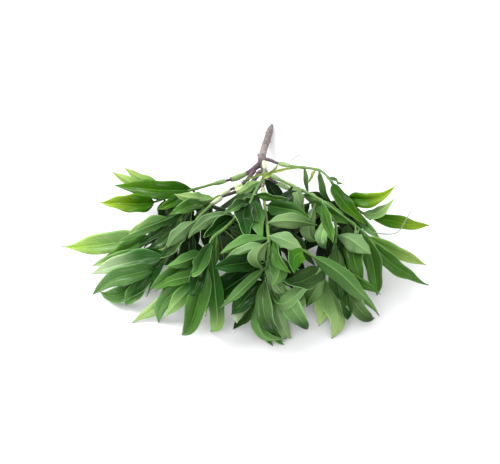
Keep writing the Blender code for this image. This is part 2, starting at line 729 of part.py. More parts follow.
def plan_branch():
    """Every spray's shells, with each leaf bent clear: name to list of shells."""
    placed = []
    plan = {"woody_stem": wood_shells()}
    for shell in plan["woody_stem"]:
        remember(placed, "woody_stem", "wood", shell)
    courses = {}
    for spray in SPRAYS:
        shells = [stem_shell(spray)]
        course = stem_course(spray)
        for places in spray.shoots:
            shells.append(thin_shell(places, 1.1, STEM_END_RADIUS))
            course = course + smooth_course([sight(*place) for place in places], 4)
        if spray.tendril:
            shells.append(thin_shell(spray.tendril, TENDRIL_RADIUS, TENDRIL_RADIUS))
        for shell in shells:
            remember(placed, spray.name, "stem", shell)
        plan[spray.name] = shells
        courses[spray.name] = course
    leaves = []
    taken = []
    for spray in SPRAYS:
        course = finer(courses[spray.name])
        leaves += [(spray.name, photo_leaf(row, course, taken)) for row in spray.leaves]
    report = []
    for name, leaf in leaves:
        cleared, alone = cleared_leaf(leaf, name, placed)
        report.append((name, leaf, cleared, alone))
        if cleared is not None:
            remember(placed, name, "leaf", blade_shell(cleared))
            plan[name].append(blade_shell(cleared))
    shown = [tree for _, kind, _, tree in placed if kind == "leaf"]
    draw = random.Random(FILL_SEED)
    for spray in SPRAYS:
        course = finer(stem_course(spray))
        for k in range(spray.fill):
            leaf = fill_in(draw, spray.name, course, k, spray.fill, taken, placed, shown)
            report.append((spray.name, leaf, leaf, True))
            if leaf is not None:
                remember(placed, spray.name, "leaf", blade_shell(leaf))
                plan[spray.name].append(blade_shell(leaf))
    return plan, report


def paint(thing, name, colour, roughness):
    """One plain Principled material."""
    material = bpy.data.materials.new(name)
    material.use_nodes = True
    shader = material.node_tree.nodes["Principled BSDF"]
    shader.inputs["Base Color"].default_value = (*colour, 1.0)
    shader.inputs["Roughness"].default_value = roughness
    thing.data.materials.append(material)


def solid_from(shell, name):
    """A mesh object from one shell, with its origin at the branch's middle."""
    points, faces = shell
    mesh = bpy.data.meshes.new(name)
    mesh.from_pydata([((p - ORIGIN) * MM).to_tuple() for p in points], [], faces)
    shape = bmesh.new()
    shape.from_mesh(mesh)
    bmesh.ops.recalc_face_normals(shape, faces=shape.faces)
    shape.to_mesh(mesh)
    shape.free()
    thing = bpy.data.objects.new(name, mesh)
    bpy.context.scene.collection.objects.link(thing)
    return thing


def keep_outer_shell(body):
    """Fill hollows that fusing sealed and drop loose scraps: only the largest shell stays."""
    shape = bmesh.new()
    shape.from_mesh(body.data)
    left = set(shape.faces)
    shells = []
    while left:
        found = {left.pop()}
        edge = list(found)
        while edge:
            near = {other for side in edge.pop().edges for other in side.link_faces} & left
            left -= near
            found |= near
            edge += near
        shells.append(found)
    largest = max(shells, key=lambda faces: sum(face.calc_area() for face in faces))
    spare = [face for faces in shells if faces is not largest for face in faces]
    bmesh.ops.delete(shape, geom=spare, context="FACES")
    shape.to_mesh(body.data)
    shape.free()


def fused(shells, name):
    """One solid from several shells: a union of the first with the collection of the rest."""
    body = solid_from(shells[0], name)
    others = bpy.data.collections.new(name + "_parts")
    bpy.context.scene.collection.children.link(others)
    pieces = []
    for k, shell in enumerate(shells[1:]):
        piece = solid_from(shell, f"{name}_part_{k}")
        bpy.context.scene.collection.objects.unlink(piece)
        others.objects.link(piece)
        pieces.append(piece)
    union = body.modifiers.new("union", "BOOLEAN")
    union.operation = "UNION"
    union.solver = "EXACT"
    union.operand_type = "COLLECTION"
    union.collection = others
    bpy.context.view_layer.objects.active = body
    bpy.ops.object.modifier_apply(modifier=union.name)
    for piece in pieces:
        bpy.data.objects.remove(piece, do_unlink=True)
    bpy.data.collections.remove(others)
    keep_outer_shell(body)
    return body


def build_branch():
    """Every node of the branch."""
    plan, _ = plan_branch()
    for name, shells in plan.items():
        body = fused(shells, name)
        for face in body.data.polygons:
            face.use_smooth = True
        if name == "woody_stem":
            paint(body, "bark", (0.13, 0.10, 0.085), 0.8)
        else:
            paint(body, name + "_leaf", (0.07, 0.20, 0.04), 0.45)


for old in list(bpy.data.objects):
    bpy.data.objects.remove(old, do_unlink=True)
build_branch()
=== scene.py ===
# %% [markdown]
# A cut bay branch, lying down
#
# The real object is a bushy branch that was cut from its tree and laid on a table. A grey-brown
# woody stem lies at the back. It forks into thin dark twigs, each twig ends in a pale green
# collar, and out of each collar grows a thin green stem with long narrow leaves.
#
# The construction is already there as plain solids: one for the wood and one for each leafy
# spray. This lesson dresses them. Every spray is replaced by finer leaves and stems that lie where
# the solids' leaves and stems lie, and the wood by a finer piece of the same course.

# %% Load the frame and keep its size
import json
import math
import random
from collections import namedtuple

import bpy
import numpy as np
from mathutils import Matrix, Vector
from mathutils.bvhtree import BVHTree

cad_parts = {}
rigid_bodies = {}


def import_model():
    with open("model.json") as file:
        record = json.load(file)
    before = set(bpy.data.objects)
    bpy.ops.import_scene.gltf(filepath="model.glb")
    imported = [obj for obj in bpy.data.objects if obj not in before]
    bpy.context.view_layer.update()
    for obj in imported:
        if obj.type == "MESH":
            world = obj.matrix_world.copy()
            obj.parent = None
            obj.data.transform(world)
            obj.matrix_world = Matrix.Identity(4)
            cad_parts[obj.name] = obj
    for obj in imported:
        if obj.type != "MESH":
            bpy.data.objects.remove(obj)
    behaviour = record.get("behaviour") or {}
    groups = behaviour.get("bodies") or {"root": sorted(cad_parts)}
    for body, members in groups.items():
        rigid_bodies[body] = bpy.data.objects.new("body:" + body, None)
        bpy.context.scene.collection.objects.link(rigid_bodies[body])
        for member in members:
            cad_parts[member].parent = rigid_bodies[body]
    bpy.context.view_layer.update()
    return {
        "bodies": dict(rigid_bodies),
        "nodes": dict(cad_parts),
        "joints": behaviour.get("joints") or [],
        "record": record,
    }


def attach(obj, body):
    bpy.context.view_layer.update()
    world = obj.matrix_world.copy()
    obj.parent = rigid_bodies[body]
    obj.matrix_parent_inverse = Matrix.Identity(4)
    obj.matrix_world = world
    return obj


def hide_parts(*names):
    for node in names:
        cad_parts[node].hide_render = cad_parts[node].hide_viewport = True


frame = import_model()
MM = 0.001
print("solids:", sorted(frame["nodes"]))

# %% [markdown]
# The photograph's view
#
# A place on the branch is easiest to give as the photograph shows it: how far right, how far down,
# and how high above the table. The camera looks down by 42 degrees from about a metre away, and at
# the branch's middle one step in the picture is one millimetre. sight() turns such a place into a
# point, and the camera stands at the same eye, so what is measured in the picture lands there again.

# %% The view and its two helpers
VIEW_TILT = math.radians(42.0)
VIEW_DISTANCE = 1041.7
FRAME_MIDDLE = (250.0, 232.0)
AIM = Vector((4.0, -15.0, 0.0))
VIEW_AXIS = Vector((0.0, math.cos(VIEW_TILT), -math.sin(VIEW_TILT)))
VIEW_UP = Vector((0.0, math.sin(VIEW_TILT), math.cos(VIEW_TILT)))
EYE = AIM - VIEW_DISTANCE * VIEW_AXIS
ORIGIN = Vector((-1.8, -2.7, 0.0))


def sight(right, down, height):
    """The point at this height that the photograph shows there, in millimetres."""
    side = (right - FRAME_MIDDLE[0]) / VIEW_DISTANCE
    rise = (FRAME_MIDDLE[1] - down) / VIEW_DISTANCE
    ray = VIEW_AXIS + Vector((side, 0.0, 0.0)) + VIEW_UP * rise
    return EYE + ray * ((height - EYE.z) / ray.z)


def seen_at(point):
    """Where the photograph shows a point, right and down in its frame."""
    ray = point - EYE
    depth = ray.dot(VIEW_AXIS)
    return (FRAME_MIDDLE[0] + VIEW_DISTANCE * ray.x / depth,
            FRAME_MIDDLE[1] - VIEW_DISTANCE * ray.dot(VIEW_UP) / depth)


print("the eye is", round(EYE.z), "mm above the table")

# %% [markdown]
# How the branch is laid out
#
# Each spray has a collar, a stem that arches over and down, and leaves. The leaves that the
# photograph shows are listed, because their places are the picture. The hidden ones inside
# the bush follow a rule that comes later, and the spray only says how many of them it gets.
#
# A leaf's row holds its tip, as right, down and height; its base, as right and down; how far it
# arches up; its turn; and its width. A turn of 0 shows the upper side to the photograph, and 180
# the underside. Then, where the leaf has them, come the place where its middle shows, right and
# down; how much its turn grows from base to tip; how much its outer half rises before it bends
# down to the tip; and its taper. Lengths are in millimetres and turns in degrees.

# %% How a spray is described
class Spray:
    """One green spray: the collar's two ends, the stem's course, side shoots and leaves."""

    def __init__(self, name, collar, stem, leaves, fill, shoots=(), tendril=None):
        self.name = name
        self.collar = collar
        self.stem = stem
        self.leaves = leaves
        self.fill = fill
        self.shoots = shoots
        self.tendril = tendril


print("a spray has a collar, a stem, leaves and, for a few, side shoots or a tendril")

# %% [markdown]
# The sprays on the left
#
# Four sprays reach to the left. The first lies high and apart from the rest, with its young leaves
# in a fan. The others overlap one another toward the front.

# %% Sprays on the left
HIGH_LEFT = Spray(
    "spray_high_left",
    collar=((225, 181, 42), (213, 184, 45)),
    stem=((197, 188.5, 47), (180, 193, 46), (166, 198, 42), (152, 203, 37)),
    leaves=(
        (124, 168, 50, 168, 196, 2, 180, 11, 144, 180),
        (112, 172, 45, 160, 198, 2, 180, 11, 133, 184),
        (114, 185, 44, 197, 189, 4, 8, 19, 156, 190),
        (100, 202.5, 30, 162, 204, 3, 5, 18, 131, 204),
        (157, 209, 34, 190, 194, 1, 10, 11, 172, 203),
    ),
    fill=8,
)
MID_LEFT = Spray(
    "spray_mid_left",
    collar=((229, 190.5, 46), (219, 196, 50)),
    stem=((204, 203.5, 56), (188, 210, 56), (172, 218, 50), (158, 229, 40), (147, 240, 30)),
    leaves=(
        (174, 194, 58, 219, 201, 3, 178, 15, 198, 200),
        (169, 215, 50, 206, 205, 3, 15, 12, 188, 207),
        (128, 235, 38, 173, 219, 6, 15, 13, 149, 225.5),
        (116, 242.5, 42, 190, 217, 12, 215, 11, 154, 224.5),
        (61.5, 246.5, 0.1, 143, 242, 5, 8, 21, 102, 245, 0, 0, 1.5),
        (102, 260, 18, 156, 240, 4, 15, 14, 127, 249.5),
        (138, 244, 32, 180, 222, 4, 20, 12, 158, 233),
        (146, 248, 34, 186, 226, 4, 15, 13, 165, 240),
        (150, 258, 10, 188, 212, -8, 10, 16, 168, 236),
    ),
    fill=8,
)
LOW_LEFT = Spray(
    "spray_low_left",
    collar=((221, 198, 52), (212, 204, 56)),
    stem=((200, 216, 63), (188, 232, 61), (176, 246, 51), (165, 260, 36), (157, 273, 18)),
    leaves=(
        (167, 248, 60, 193, 218, 4, 176, 13, 179, 233.5),
        (92, 266, 12, 170, 251, 5, 10, 13, 126, 257.5),
        (91.5, 274, 8, 170, 257, 6, 5, 20, 129, 262.5),
        (92, 295, 0.1, 160, 270, 12, 5, 17, 124, 276),
        (100, 292, 0.6, 158, 276, -4, 10, 17, 127, 292),
        (126, 305, 0.1, 160, 274, -3, 5, 15, 136, 291),
        (147, 297, 5, 160, 270, 3, 60, 10),
        (160, 258, 40, 188, 236, 4, 20, 12, 173, 247),
    ),
    fill=8,
)
FRONT_LEFT = Spray(
    "spray_front_left",
    collar=((248, 195, 50), (240, 203, 56)),
    stem=((236, 217, 66), (224, 229, 71), (212, 239, 70), (208, 256, 62), (206, 275, 46),
          (204, 293, 24)),
    leaves=(
        (188, 239, 66, 234, 215, 5, 184, 11, 206, 221),
        (203, 238, 66, 236, 217, 3, 10, 11, 219, 226),
        (166, 267, 46, 210, 254, 3, 175, 13, 188, 260),
        (150, 290, 26, 207, 262, 5, 5, 16, 176, 273),
        (155, 291, 26, 206, 272, 9, 190, 11, 178, 279),
        (158.5, 324, 0.1, 204, 272, 1, 10, 17, 170, 296),
        (165, 317, 4, 203, 277, 12, 175, 16, 183, 296),
        (132, 323, 0.1, 204, 284, 3, 5, 15, 165, 302),
        (181, 335, 0.1, 204, 290, 3, 5, 19, 195, 313, 0, 0, 1.4),
        (206, 317, 22, 206, 284, 8, 190, 8),
        (210, 331, 0.1, 205, 292, -6, 175, 15, 217, 312),
        (187, 291, 36, 209, 264, 3, 15, 13, 197, 283),
        (190, 272, 38, 209, 256, 2, 20, 13, 200, 266),
        (209, 272, 44, 212, 240, 2, 150, 9, 216, 254),
    ),
    fill=8,
)
print([len(spray.leaves) for spray in (HIGH_LEFT, MID_LEFT, LOW_LEFT, FRONT_LEFT)], "leaves on the left")

# %% [markdown]
# The sprays in the middle
#
# The middle spray comes straight toward the camera and has the most leaves. Its one side shoot
# carries two of them. A short spray lies on top of it, close to the fork.

# %% Sprays in the middle
CENTRE = Spray(
    "spray_centre",
    collar=((263, 189, 45), (264, 199, 53)),
    stem=((266, 215, 67), (268, 232, 75), (269, 248, 73), (267, 264, 62), (265, 280, 44), (266, 296, 23)),
    shoots=(((268.5, 238, 75), (286, 244, 74), (303, 250, 67), (312, 256, 60)),),
    leaves=(
        (273, 346, 0.1, 266, 297, -8, 10, 11, 264, 328),
        (284, 344.5, 0.1, 267, 297, -8, 0, 11, 272, 330),
        (311, 219, 72, 266, 205, 4, 5, 15, 288, 209),
        (318, 225.5, 76, 267, 223, 5, 178, 14, 289, 220.5),
        (302, 248, 82, 268, 236, 5, 175, 14, 284, 239.5),
        (220, 254, 66, 269, 239, 3, 172, 13, 244, 243.5),
        (222, 262, 62, 269, 246, 3, 182, 12, 244, 251.5),
        (263.5, 269, 58, 268, 246, 2, 175, 15, 256.5, 256),
        (291, 273.5, 60, 271, 242, 3, 25, 11, 278, 258),
        (271.5, 286.5, 40, 269, 254, 2, 175, 17, 279, 269),
        (295, 273, 54, 305, 250, 2, 0, 17, 294.5, 258),
        (378.5, 315, 8, 305, 254, 10, 175, 15, 347, 283, 0, 10),
        (219, 308.5, 30, 267, 266, 8, 170, 9.5, 243, 288.5),
        (231, 315, 14, 266, 278, 5, 8, 18, 246, 298),
        (237, 323.5, 6, 266, 282, 0, 178, 17, 243, 301),
        (213, 268, 52, 268, 257, 3, 10, 16, 237, 264),
        (210, 305, 16, 267, 262, -1, 10, 23, 232, 285),
        (233, 330, 2, 266, 286, 2, 15, 17, 249, 310),
        (286, 338, 0.1, 266, 292, 3, 178, 12, 260, 329),
        (280, 334, 3, 266, 292, 4, 10, 16, 265, 316),
        (291, 341, 1.2, 266, 294, -2, 170, 16, 280, 320),
        (308, 330, 0.1, 267, 288, 4, 10, 17, 293, 309),
        (287.5, 294.5, 40, 268, 266, 3, 178, 10, 276, 283),
        (302, 300, 8, 267, 248, -12, 10, 18, 288, 272),
    ),
    fill=9,
)
TOP = Spray(
    "spray_top",
    collar=((264, 162, 35), (265, 169, 43)),
    stem=((262, 180, 55), (256, 190, 63), (251, 201, 68), (247, 213, 70)),
    leaves=(
        (249, 241, 72, 246, 200, 3, 5, 16, 244, 219),
        (262, 240, 76, 254, 199, 4, 10, 14, 258, 219),
        (233, 203, 60, 247, 190, 2, 30, 7),
        (236.5, 194, 62, 262, 181, 3, 178, 9, 248, 187.5),
        (290, 199, 66, 252, 196, 4, 30, 9, 271, 197.5),
        (224, 214, 68, 248, 204, 4, 20, 9),
        (278, 165, 60, 262, 180, 2, 20, 4, 269, 174),
    ),
    fill=6,
)
print([len(spray.leaves) for spray in (CENTRE, TOP)], "leaves in the middle")

# %% [markdown]
# The sprays on the right
#
# Three sprays reach to the right. The upper two also have a hair-thin tendril each.

# %% Sprays on the right, and all of them in order
LOW_RIGHT = Spray(
    "spray_low_right",
    collar=((279, 184, 39), (289, 189, 43)),
    stem=((300, 194, 48), (313, 201, 53), (326, 210, 56), (335, 222, 56), (336, 238, 51),
          (332, 254, 40), (325, 272, 24), (323, 284, 12)),
    leaves=(
        (344, 214, 58, 302, 195, 4, 50, 11),
        (356, 224, 54, 309, 201, 4, 15, 12, 331, 213.5),
        (316.5, 242, 60, 316, 204, 3, 172, 13, 308.5, 229),
        (327, 249, 50, 330, 214, 3, 15, 13, 322, 236),
        (371.5, 254.5, 50, 336, 236, 6, 176, 17, 352.5, 240.5),
        (306, 307, 18, 325, 270, 3, 175, 15, 316, 288),
        (319, 326.5, 0.1, 325, 276, 4, 178, 18, 323.5, 300),
        (331.5, 338.5, 0.1, 327, 274, 4, 175, 19, 336.5, 311),
        (380.5, 295, 22, 330, 260, 7, 40, 10, 358, 281),
        (283, 280, 44, 327, 266, 5, 20, 20, 303, 281),
        (271, 290, 34, 323, 280, 3, 178, 12, 290, 300),
        (270.5, 315, 26, 325, 279, -2, 172, 15, 298, 303, 0, 0, 0.95),
        (347, 320.5, 1, 328, 266, 4, 15, 13, 346, 296),
        (375, 318, 1, 330, 264, 2, 12, 16, 355, 303),
        (341, 300, 6, 326, 262, -6, 10, 17, 338, 282),
    ),
    fill=8,
)
RIGHT = Spray(
    "spray_right",
    collar=((270, 175, 40), (280, 180, 46)),
    stem=((295, 187, 57), (312, 195, 64), (330, 206, 66), (347, 219, 60), (362, 231, 49), (374, 243, 37)),
    tendril=((361, 230, 50), (380, 233.5, 46), (392, 234, 44), (399, 231, 45), (403, 225, 47),
             (407, 218, 50), (411, 211, 53)),
    leaves=(
        (304, 214, 62, 292, 187, 3, 15, 11),
        (333, 243, 60, 322, 201, 3, 20, 10, 329, 225),
        (426, 265, 3, 364, 235, 6, 5, 13, 394, 251),
        (428, 285, 0.1, 370, 243, 6, 8, 14, 396, 266.5, 0, 0, 1.35),
        (377, 296, 1.5, 367, 240, 4, 8, 16, 374, 268),
        (364, 282, 16, 358, 229, 4, 12, 17, 354, 259),
        (353, 264, 30, 361, 232, 3, 175, 9, 357, 250),
    ),
    fill=8,
)
HIGH_RIGHT = Spray(
    "spray_high_right",
    collar=((279.5, 163.5, 35), (290, 166, 39)),
    stem=((303, 167.5, 45), (312, 168.5, 49), (320, 170.5, 52), (326, 175, 52), (331, 181, 51),
          (339, 190, 49), (349, 200, 46), (360, 211, 43), (371, 220, 40)),
    tendril=((288, 165.5, 38), (292, 159.8, 40), (297, 156.5, 41), (301, 153.5, 42)),
    leaves=(
        (240, 181, 58, 302, 168, 3, 40, 4, 270, 173),
        (308, 195, 42, 304, 168, 1, 15, 5),
        (332, 204, 46, 319, 171, 2, 15, 7, 323, 189),
        (308, 183, 46, 317, 171, 1, 170, 3.5),
        (344, 185, 54, 328, 178, 1, 30, 3.5),
        (367.5, 225, 44, 331, 181, 6, 0, 13, 345.5, 204),
        (396, 185.5, 56, 345, 196, 1, 8, 15, 369, 199.5, 0, 0, 1.3),
        (395, 197.5, 52, 361, 213, -3, 165, 11, 379, 212, 0, 0, 1.25),
        (429, 225.5, 24, 369, 220, 3, 5, 13, 400, 222.5),
        (379.5, 238, 40, 349, 201, 3, 15, 9, 366, 226),
    ),
    fill=7,
)
SPRAYS = (HIGH_LEFT, MID_LEFT, LOW_LEFT, FRONT_LEFT, TOP, CENTRE, LOW_RIGHT, RIGHT, HIGH_RIGHT)
print(sum(len(spray.leaves) for spray in SPRAYS), "leaves are placed by hand on", len(SPRAYS), "sprays")

# %% [markdown]
# The wood's course
#
# The main stem starts at its cut end, which lies on the table, and rises to the fork. From there a
# twig goes to each spray's collar. Each place is given as right, down and height, with the wood's
# radius there.

# %% Courses of the main stem and of the twigs
MAIN_STEM = ((272.0, 124.0, 0.8, 1.0), (270.1, 130.0, 3.1, 3.6), (267.3, 139.0, 7.5, 3.9),
             (264.0, 149.0, 14.0, 3.9), (261.8, 158.0, 22.0, 4.2), (261.0, 165.0, 28.0, 3.9))
TWIGS = {
    "spray_high_left": ((261, 163, 28, 3.4), (251, 171, 33, 2.8), (239, 177, 38, 1.6)),
    "spray_mid_left": ((254, 171, 32, 2.4), (246, 181, 37, 2.0), (238, 186.5, 42, 1.5)),
    "spray_low_left": ((260, 172, 30, 2.6), (250, 184, 38, 2.1), (235, 192, 46, 1.7)),
    "spray_front_left": ((264, 181, 34, 2.2), (257, 189, 43, 1.7)),
    "spray_centre": ((262, 163, 27, 3.7), (264.5, 173, 31, 3.3), (264, 181, 36, 2.4)),
    "spray_top": ((262, 160, 26, 2.4),),
    "spray_low_right": ((265, 174, 30, 2.4), (271, 180, 35, 1.6)),
    "spray_right": ((264, 169, 30, 2.2),),
    "spray_high_right": ((262.5, 158, 24, 2.0), (271, 160.5, 31, 1.4)),
}
print(len(TWIGS), "twigs part from the main stem")

# %% [markdown]
# Smooth courses
#
# A stem grows in a smooth curve. A few noted points are enough for it: the curve is worked out so
# that it passes through all of them, and a tube is a row of rings along it, closed at both ends.
# A curve object could do the same, but the layout needs the points themselves.

# %% Smooth courses and tubes
NEARLY_PARALLEL = 0.05


def smooth_course(points, parts):
    """Points on a smooth curve through the given ones, so many parts to each gap."""
    ends = [points[0] * 2 - points[1], *points, points[-1] * 2 - points[-2]]
    course = []
    for k in range(1, len(ends) - 2):
        a, b, c, d = ends[k - 1:k + 3]
        for step in range(parts):
            t = step / parts
            course.append(0.5 * (2 * b + (c - a) * t + (2 * a - 5 * b + 4 * c - d) * t * t
                                 + (3 * b - a - 3 * c + d) * t * t * t))
    course.append(points[-1].copy())
    return course


def tangents(course):
    """The direction of travel at each point."""
    last = len(course) - 1
    return [(course[min(k + 1, last)] - course[max(k - 1, 0)]).normalized() for k in range(last + 1)]


def tapered(first, last, count):
    """So many radii, from the first to the last in even steps."""
    return [first + (last - first) * k / (count - 1) for k in range(count)]


def ring_on(centre, along, radius, sides):
    """A ring of points round a centre, with a flat side downward where the tube lies level."""
    across = along.cross(Vector((0, 0, 1)))
    if across.length < NEARLY_PARALLEL:
        across = along.cross(Vector((0, 1, 0)))
    across.normalize()
    rise = across.cross(along)
    turn = math.pi / sides
    return [centre + radius * (math.sin(2 * math.pi * k / sides + turn) * across
                               - math.cos(2 * math.pi * k / sides + turn) * rise)
            for k in range(sides)]


def lofted(rings):
    """A closed shell through rings of equal count: its vertices and faces."""
    count = len(rings[0])
    points = [point for ring in rings for point in ring]
    faces = []
    for r in range(len(rings) - 1):
        for k in range(count):
            a, b = r * count + k, r * count + (k + 1) % count
            faces += [(a, b, b + count), (a, b + count, a + count)]
    last = (len(rings) - 1) * count
    for k in range(1, count - 1):
        faces.append((0, k + 1, k))
        faces.append((last, last + k, last + k + 1))
    return points, faces


def tube(course, radii, sides):
    """A closed round tube along a course."""
    along = tangents(course)
    return lofted([ring_on(p, t, r, sides) for p, t, r in zip(course, along, radii)])


def main_course(steps):
    """The main stem's points and radii, so many steps to each gap."""
    points = smooth_course([sight(*place[:3]) for place in MAIN_STEM], steps)
    radii = []
    for k in range(len(points)):
        index, part = divmod(k, steps)
        near = MAIN_STEM[index][3]
        after = MAIN_STEM[min(index + 1, len(MAIN_STEM) - 1)][3]
        radii.append(near + (after - near) * part / steps)
    return points, radii


print("the main stem's course has", len(main_course(2)[0]), "points")

# %% [markdown]
# What is in the way of a leaf
#
# Leaves have to keep clear of the wood and of the green stems. For that test each of them has a
# plain shell of a few facets, the same as in the solids. It is never shown.

# %% Plain shells of the stems and of the wood
SHELL_STEPS = 2
STEM_RADIUS = 1.45
STEM_END_RADIUS = 0.8
SHOOT_RADIUS = 1.1
TENDRIL_RADIUS = 0.6
COLLAR_RADIUS = 2.5
COLLAR_RINGS = ((0.0, 0.86), (0.35, 1.0), (0.75, 0.85))
SOCKET_RADIUS = 1.55
SOCKET_DEPTH = 4.5
STEM_SIDES = 5
WOOD_SIDES = 8
TWIG_END_RADIUS = 1.2
TWIG_STRAIGHT = 5.0
TWIG_PART_IN_SOCKET = 3.5


def collar_points(spray):
    """The collar's two ends and its axis."""
    start = sight(*spray.collar[0])
    end = sight(*spray.collar[1])
    return start, end, (end - start).normalized()


def stem_course(spray):
    """The green stem's axis from the collar's end to its last leaf."""
    return smooth_course([sight(*place) for place in (spray.collar[1], *spray.stem)], SHELL_STEPS)


def stem_shell(spray):
    """The collar with its blind socket and the green stem in one closed shell."""
    start, end, axis = collar_points(spray)
    length = (end - start).length
    course = stem_course(spray)
    inner = [(SOCKET_DEPTH, SOCKET_RADIUS), (0.0, SOCKET_RADIUS)]
    outer = [(length * part, COLLAR_RADIUS * share) for part, share in COLLAR_RINGS]
    rings = [ring_on(start + axis * d, axis, r, STEM_SIDES) for d, r in inner + outer]
    radii = tapered(STEM_RADIUS, STEM_END_RADIUS, len(course))
    rings += [ring_on(*place, STEM_SIDES) for place in zip(course, tangents(course), radii)]
    return lofted(rings)


def thin_shell(places, start_radius, end_radius):
    """A side shoot or a tendril."""
    course = smooth_course([sight(*place) for place in places], SHELL_STEPS)
    return tube(course, tapered(start_radius, end_radius, len(course)), STEM_SIDES - 1)


def wood_shells():
    """The main stem and the twigs, each a closed shell that doesn't go below the table."""
    points, faces = tube(*main_course(SHELL_STEPS), WOOD_SIDES)
    for point in points:
        point.z = max(point.z, 0.0)
    shells = [(points, faces)]
    for spray in SPRAYS:
        start, _, axis = collar_points(spray)
        places = TWIGS[spray.name]
        points = [sight(*place[:3]) for place in places] + [start - axis * TWIG_STRAIGHT]
        course = smooth_course(points, SHELL_STEPS) + [start, start + axis * TWIG_PART_IN_SOCKET]
        first = places[0][3]
        last = len(course) - 1
        radii = [first + (TWIG_END_RADIUS - first) * min(1.0, k / (last - 2)) for k in range(last + 1)]
        shells.append(tube(course, radii, WOOD_SIDES - 2))
    return shells


print("plain shells:", len(SPRAYS), "green stems and", len(wood_shells()), "pieces of wood")

# %% [markdown]
# One leaf
#
# A leaf is a midrib and a blade. The midrib is a curve from the stem to the tip. The blade turns
# about it, is widest before its middle and runs out in a point, and its halves fold up a little.
# The direction that the upper side faces is carried along the midrib from its middle, so that the
# blade doesn't spin where the midrib bends.

# %% The midrib's curve and the blade's directions
Leaf = namedtuple("Leaf", "base first second tip turn twist width facing taper")
STALK_HALF_WIDTH = 0.8
STALK_PART = 0.07
SHOULDER = 0.7
TAPER = 1.1
FRAME_STEPS = 24


def half_width(t, leaf):
    """Half the blade's width at a part t of the leaf's length."""
    s = max(0.0, (t - STALK_PART) / (1 - STALK_PART))
    widest = SHOULDER / (SHOULDER + leaf.taper)
    most = widest ** SHOULDER * (1 - widest) ** leaf.taper
    blade = 0.5 * leaf.width * s ** SHOULDER * (1 - s) ** leaf.taper / most
    return max(blade, STALK_HALF_WIDTH * (1 - t))


def point_at(leaf, t):
    """The midrib's place at a part t of the leaf's length."""
    r = 1 - t
    return (leaf.base * r ** 3 + leaf.first * (3 * r * r * t)
            + leaf.second * (3 * r * t * t) + leaf.tip * t ** 3)


def direction_at(leaf, t):
    """The midrib's direction there."""
    r = 1 - t
    return ((leaf.first - leaf.base) * (r * r) + (leaf.second - leaf.first) * (2 * r * t)
            + (leaf.tip - leaf.second) * (t * t)).normalized()


def square_to(out, along):
    """The direction nearest to out that stands square to the midrib."""
    squared = out - along * out.dot(along)
    if squared.length < NEARLY_PARALLEL:
        squared = VIEW_UP - along * VIEW_UP.dot(along)
    return squared.normalized()


def carried_out(leaf):
    """The facing direction carried along the midrib from its middle, without turning about it."""
    middle = FRAME_STEPS // 2
    out = {middle: square_to(leaf.facing, direction_at(leaf, 0.5))}
    for step in range(middle + 1, FRAME_STEPS + 1):
        out[step] = square_to(out[step - 1], direction_at(leaf, step / FRAME_STEPS))
    for step in range(middle - 1, -1, -1):
        out[step] = square_to(out[step + 1], direction_at(leaf, step / FRAME_STEPS))
    return out


def leaf_frames(leaf, parts):
    """Centre, direction, across and outward at each part of the leaf's length."""
    carried = carried_out(leaf)
    frames = []
    for t in parts:
        along = direction_at(leaf, t)
        out = square_to(carried[round(t * FRAME_STEPS)], along)
        angle = math.radians(leaf.turn + leaf.twist * t)
        outward = out * math.cos(angle) + along.cross(out) * math.sin(angle)
        frames.append((point_at(leaf, t), along, along.cross(outward), outward))
    return frames


print("a blade is widest at", round(100 * SHOULDER / (SHOULDER + TAPER)), "percent of its length")

# %% [markdown]
# A leaf's shell
#
# A leaf too has a plain shell for the test: a few rings of six points, folded at the midrib, with a
# stalk at one end and a point at the other. Where it reaches the table it lies flat on it. Extra
# thickness can be asked for, and that is how much room the test leaves.

# %% A leaf's plain shell
RINGS = (0.0, 0.1, 0.25, 0.48, 0.76, 1.0)
BLADE_EDGE = 0.6
BLADE_MIDRIB = 1.0
FOLD = math.radians(16.0)


def blade_ring(frame, half, thick, extra):
    """Six points round the blade: left edge, midrib and right edge above, and back below."""
    centre, _, across, outward = frame
    lift = math.tan(FOLD) * half
    edge = BLADE_EDGE / 2 + extra
    rib = thick / 2 + extra
    return [centre - across * half + outward * (lift + edge), centre + outward * rib,
            centre + across * half + outward * (lift + edge),
            centre + across * half + outward * (lift - edge),
            centre - outward * rib, centre - across * half + outward * (lift - edge)]


def rest_on_surface(above, under, upright, extra):
    """The points of a ring with none below the surface, where a leaf that reaches it lies flat."""
    low, high = (under, above) if upright else (above, under)
    for point in low:
        point.z = max(point.z, -extra)
    for point in high:
        point.z = max(point.z, BLADE_EDGE + extra)
    return above + under


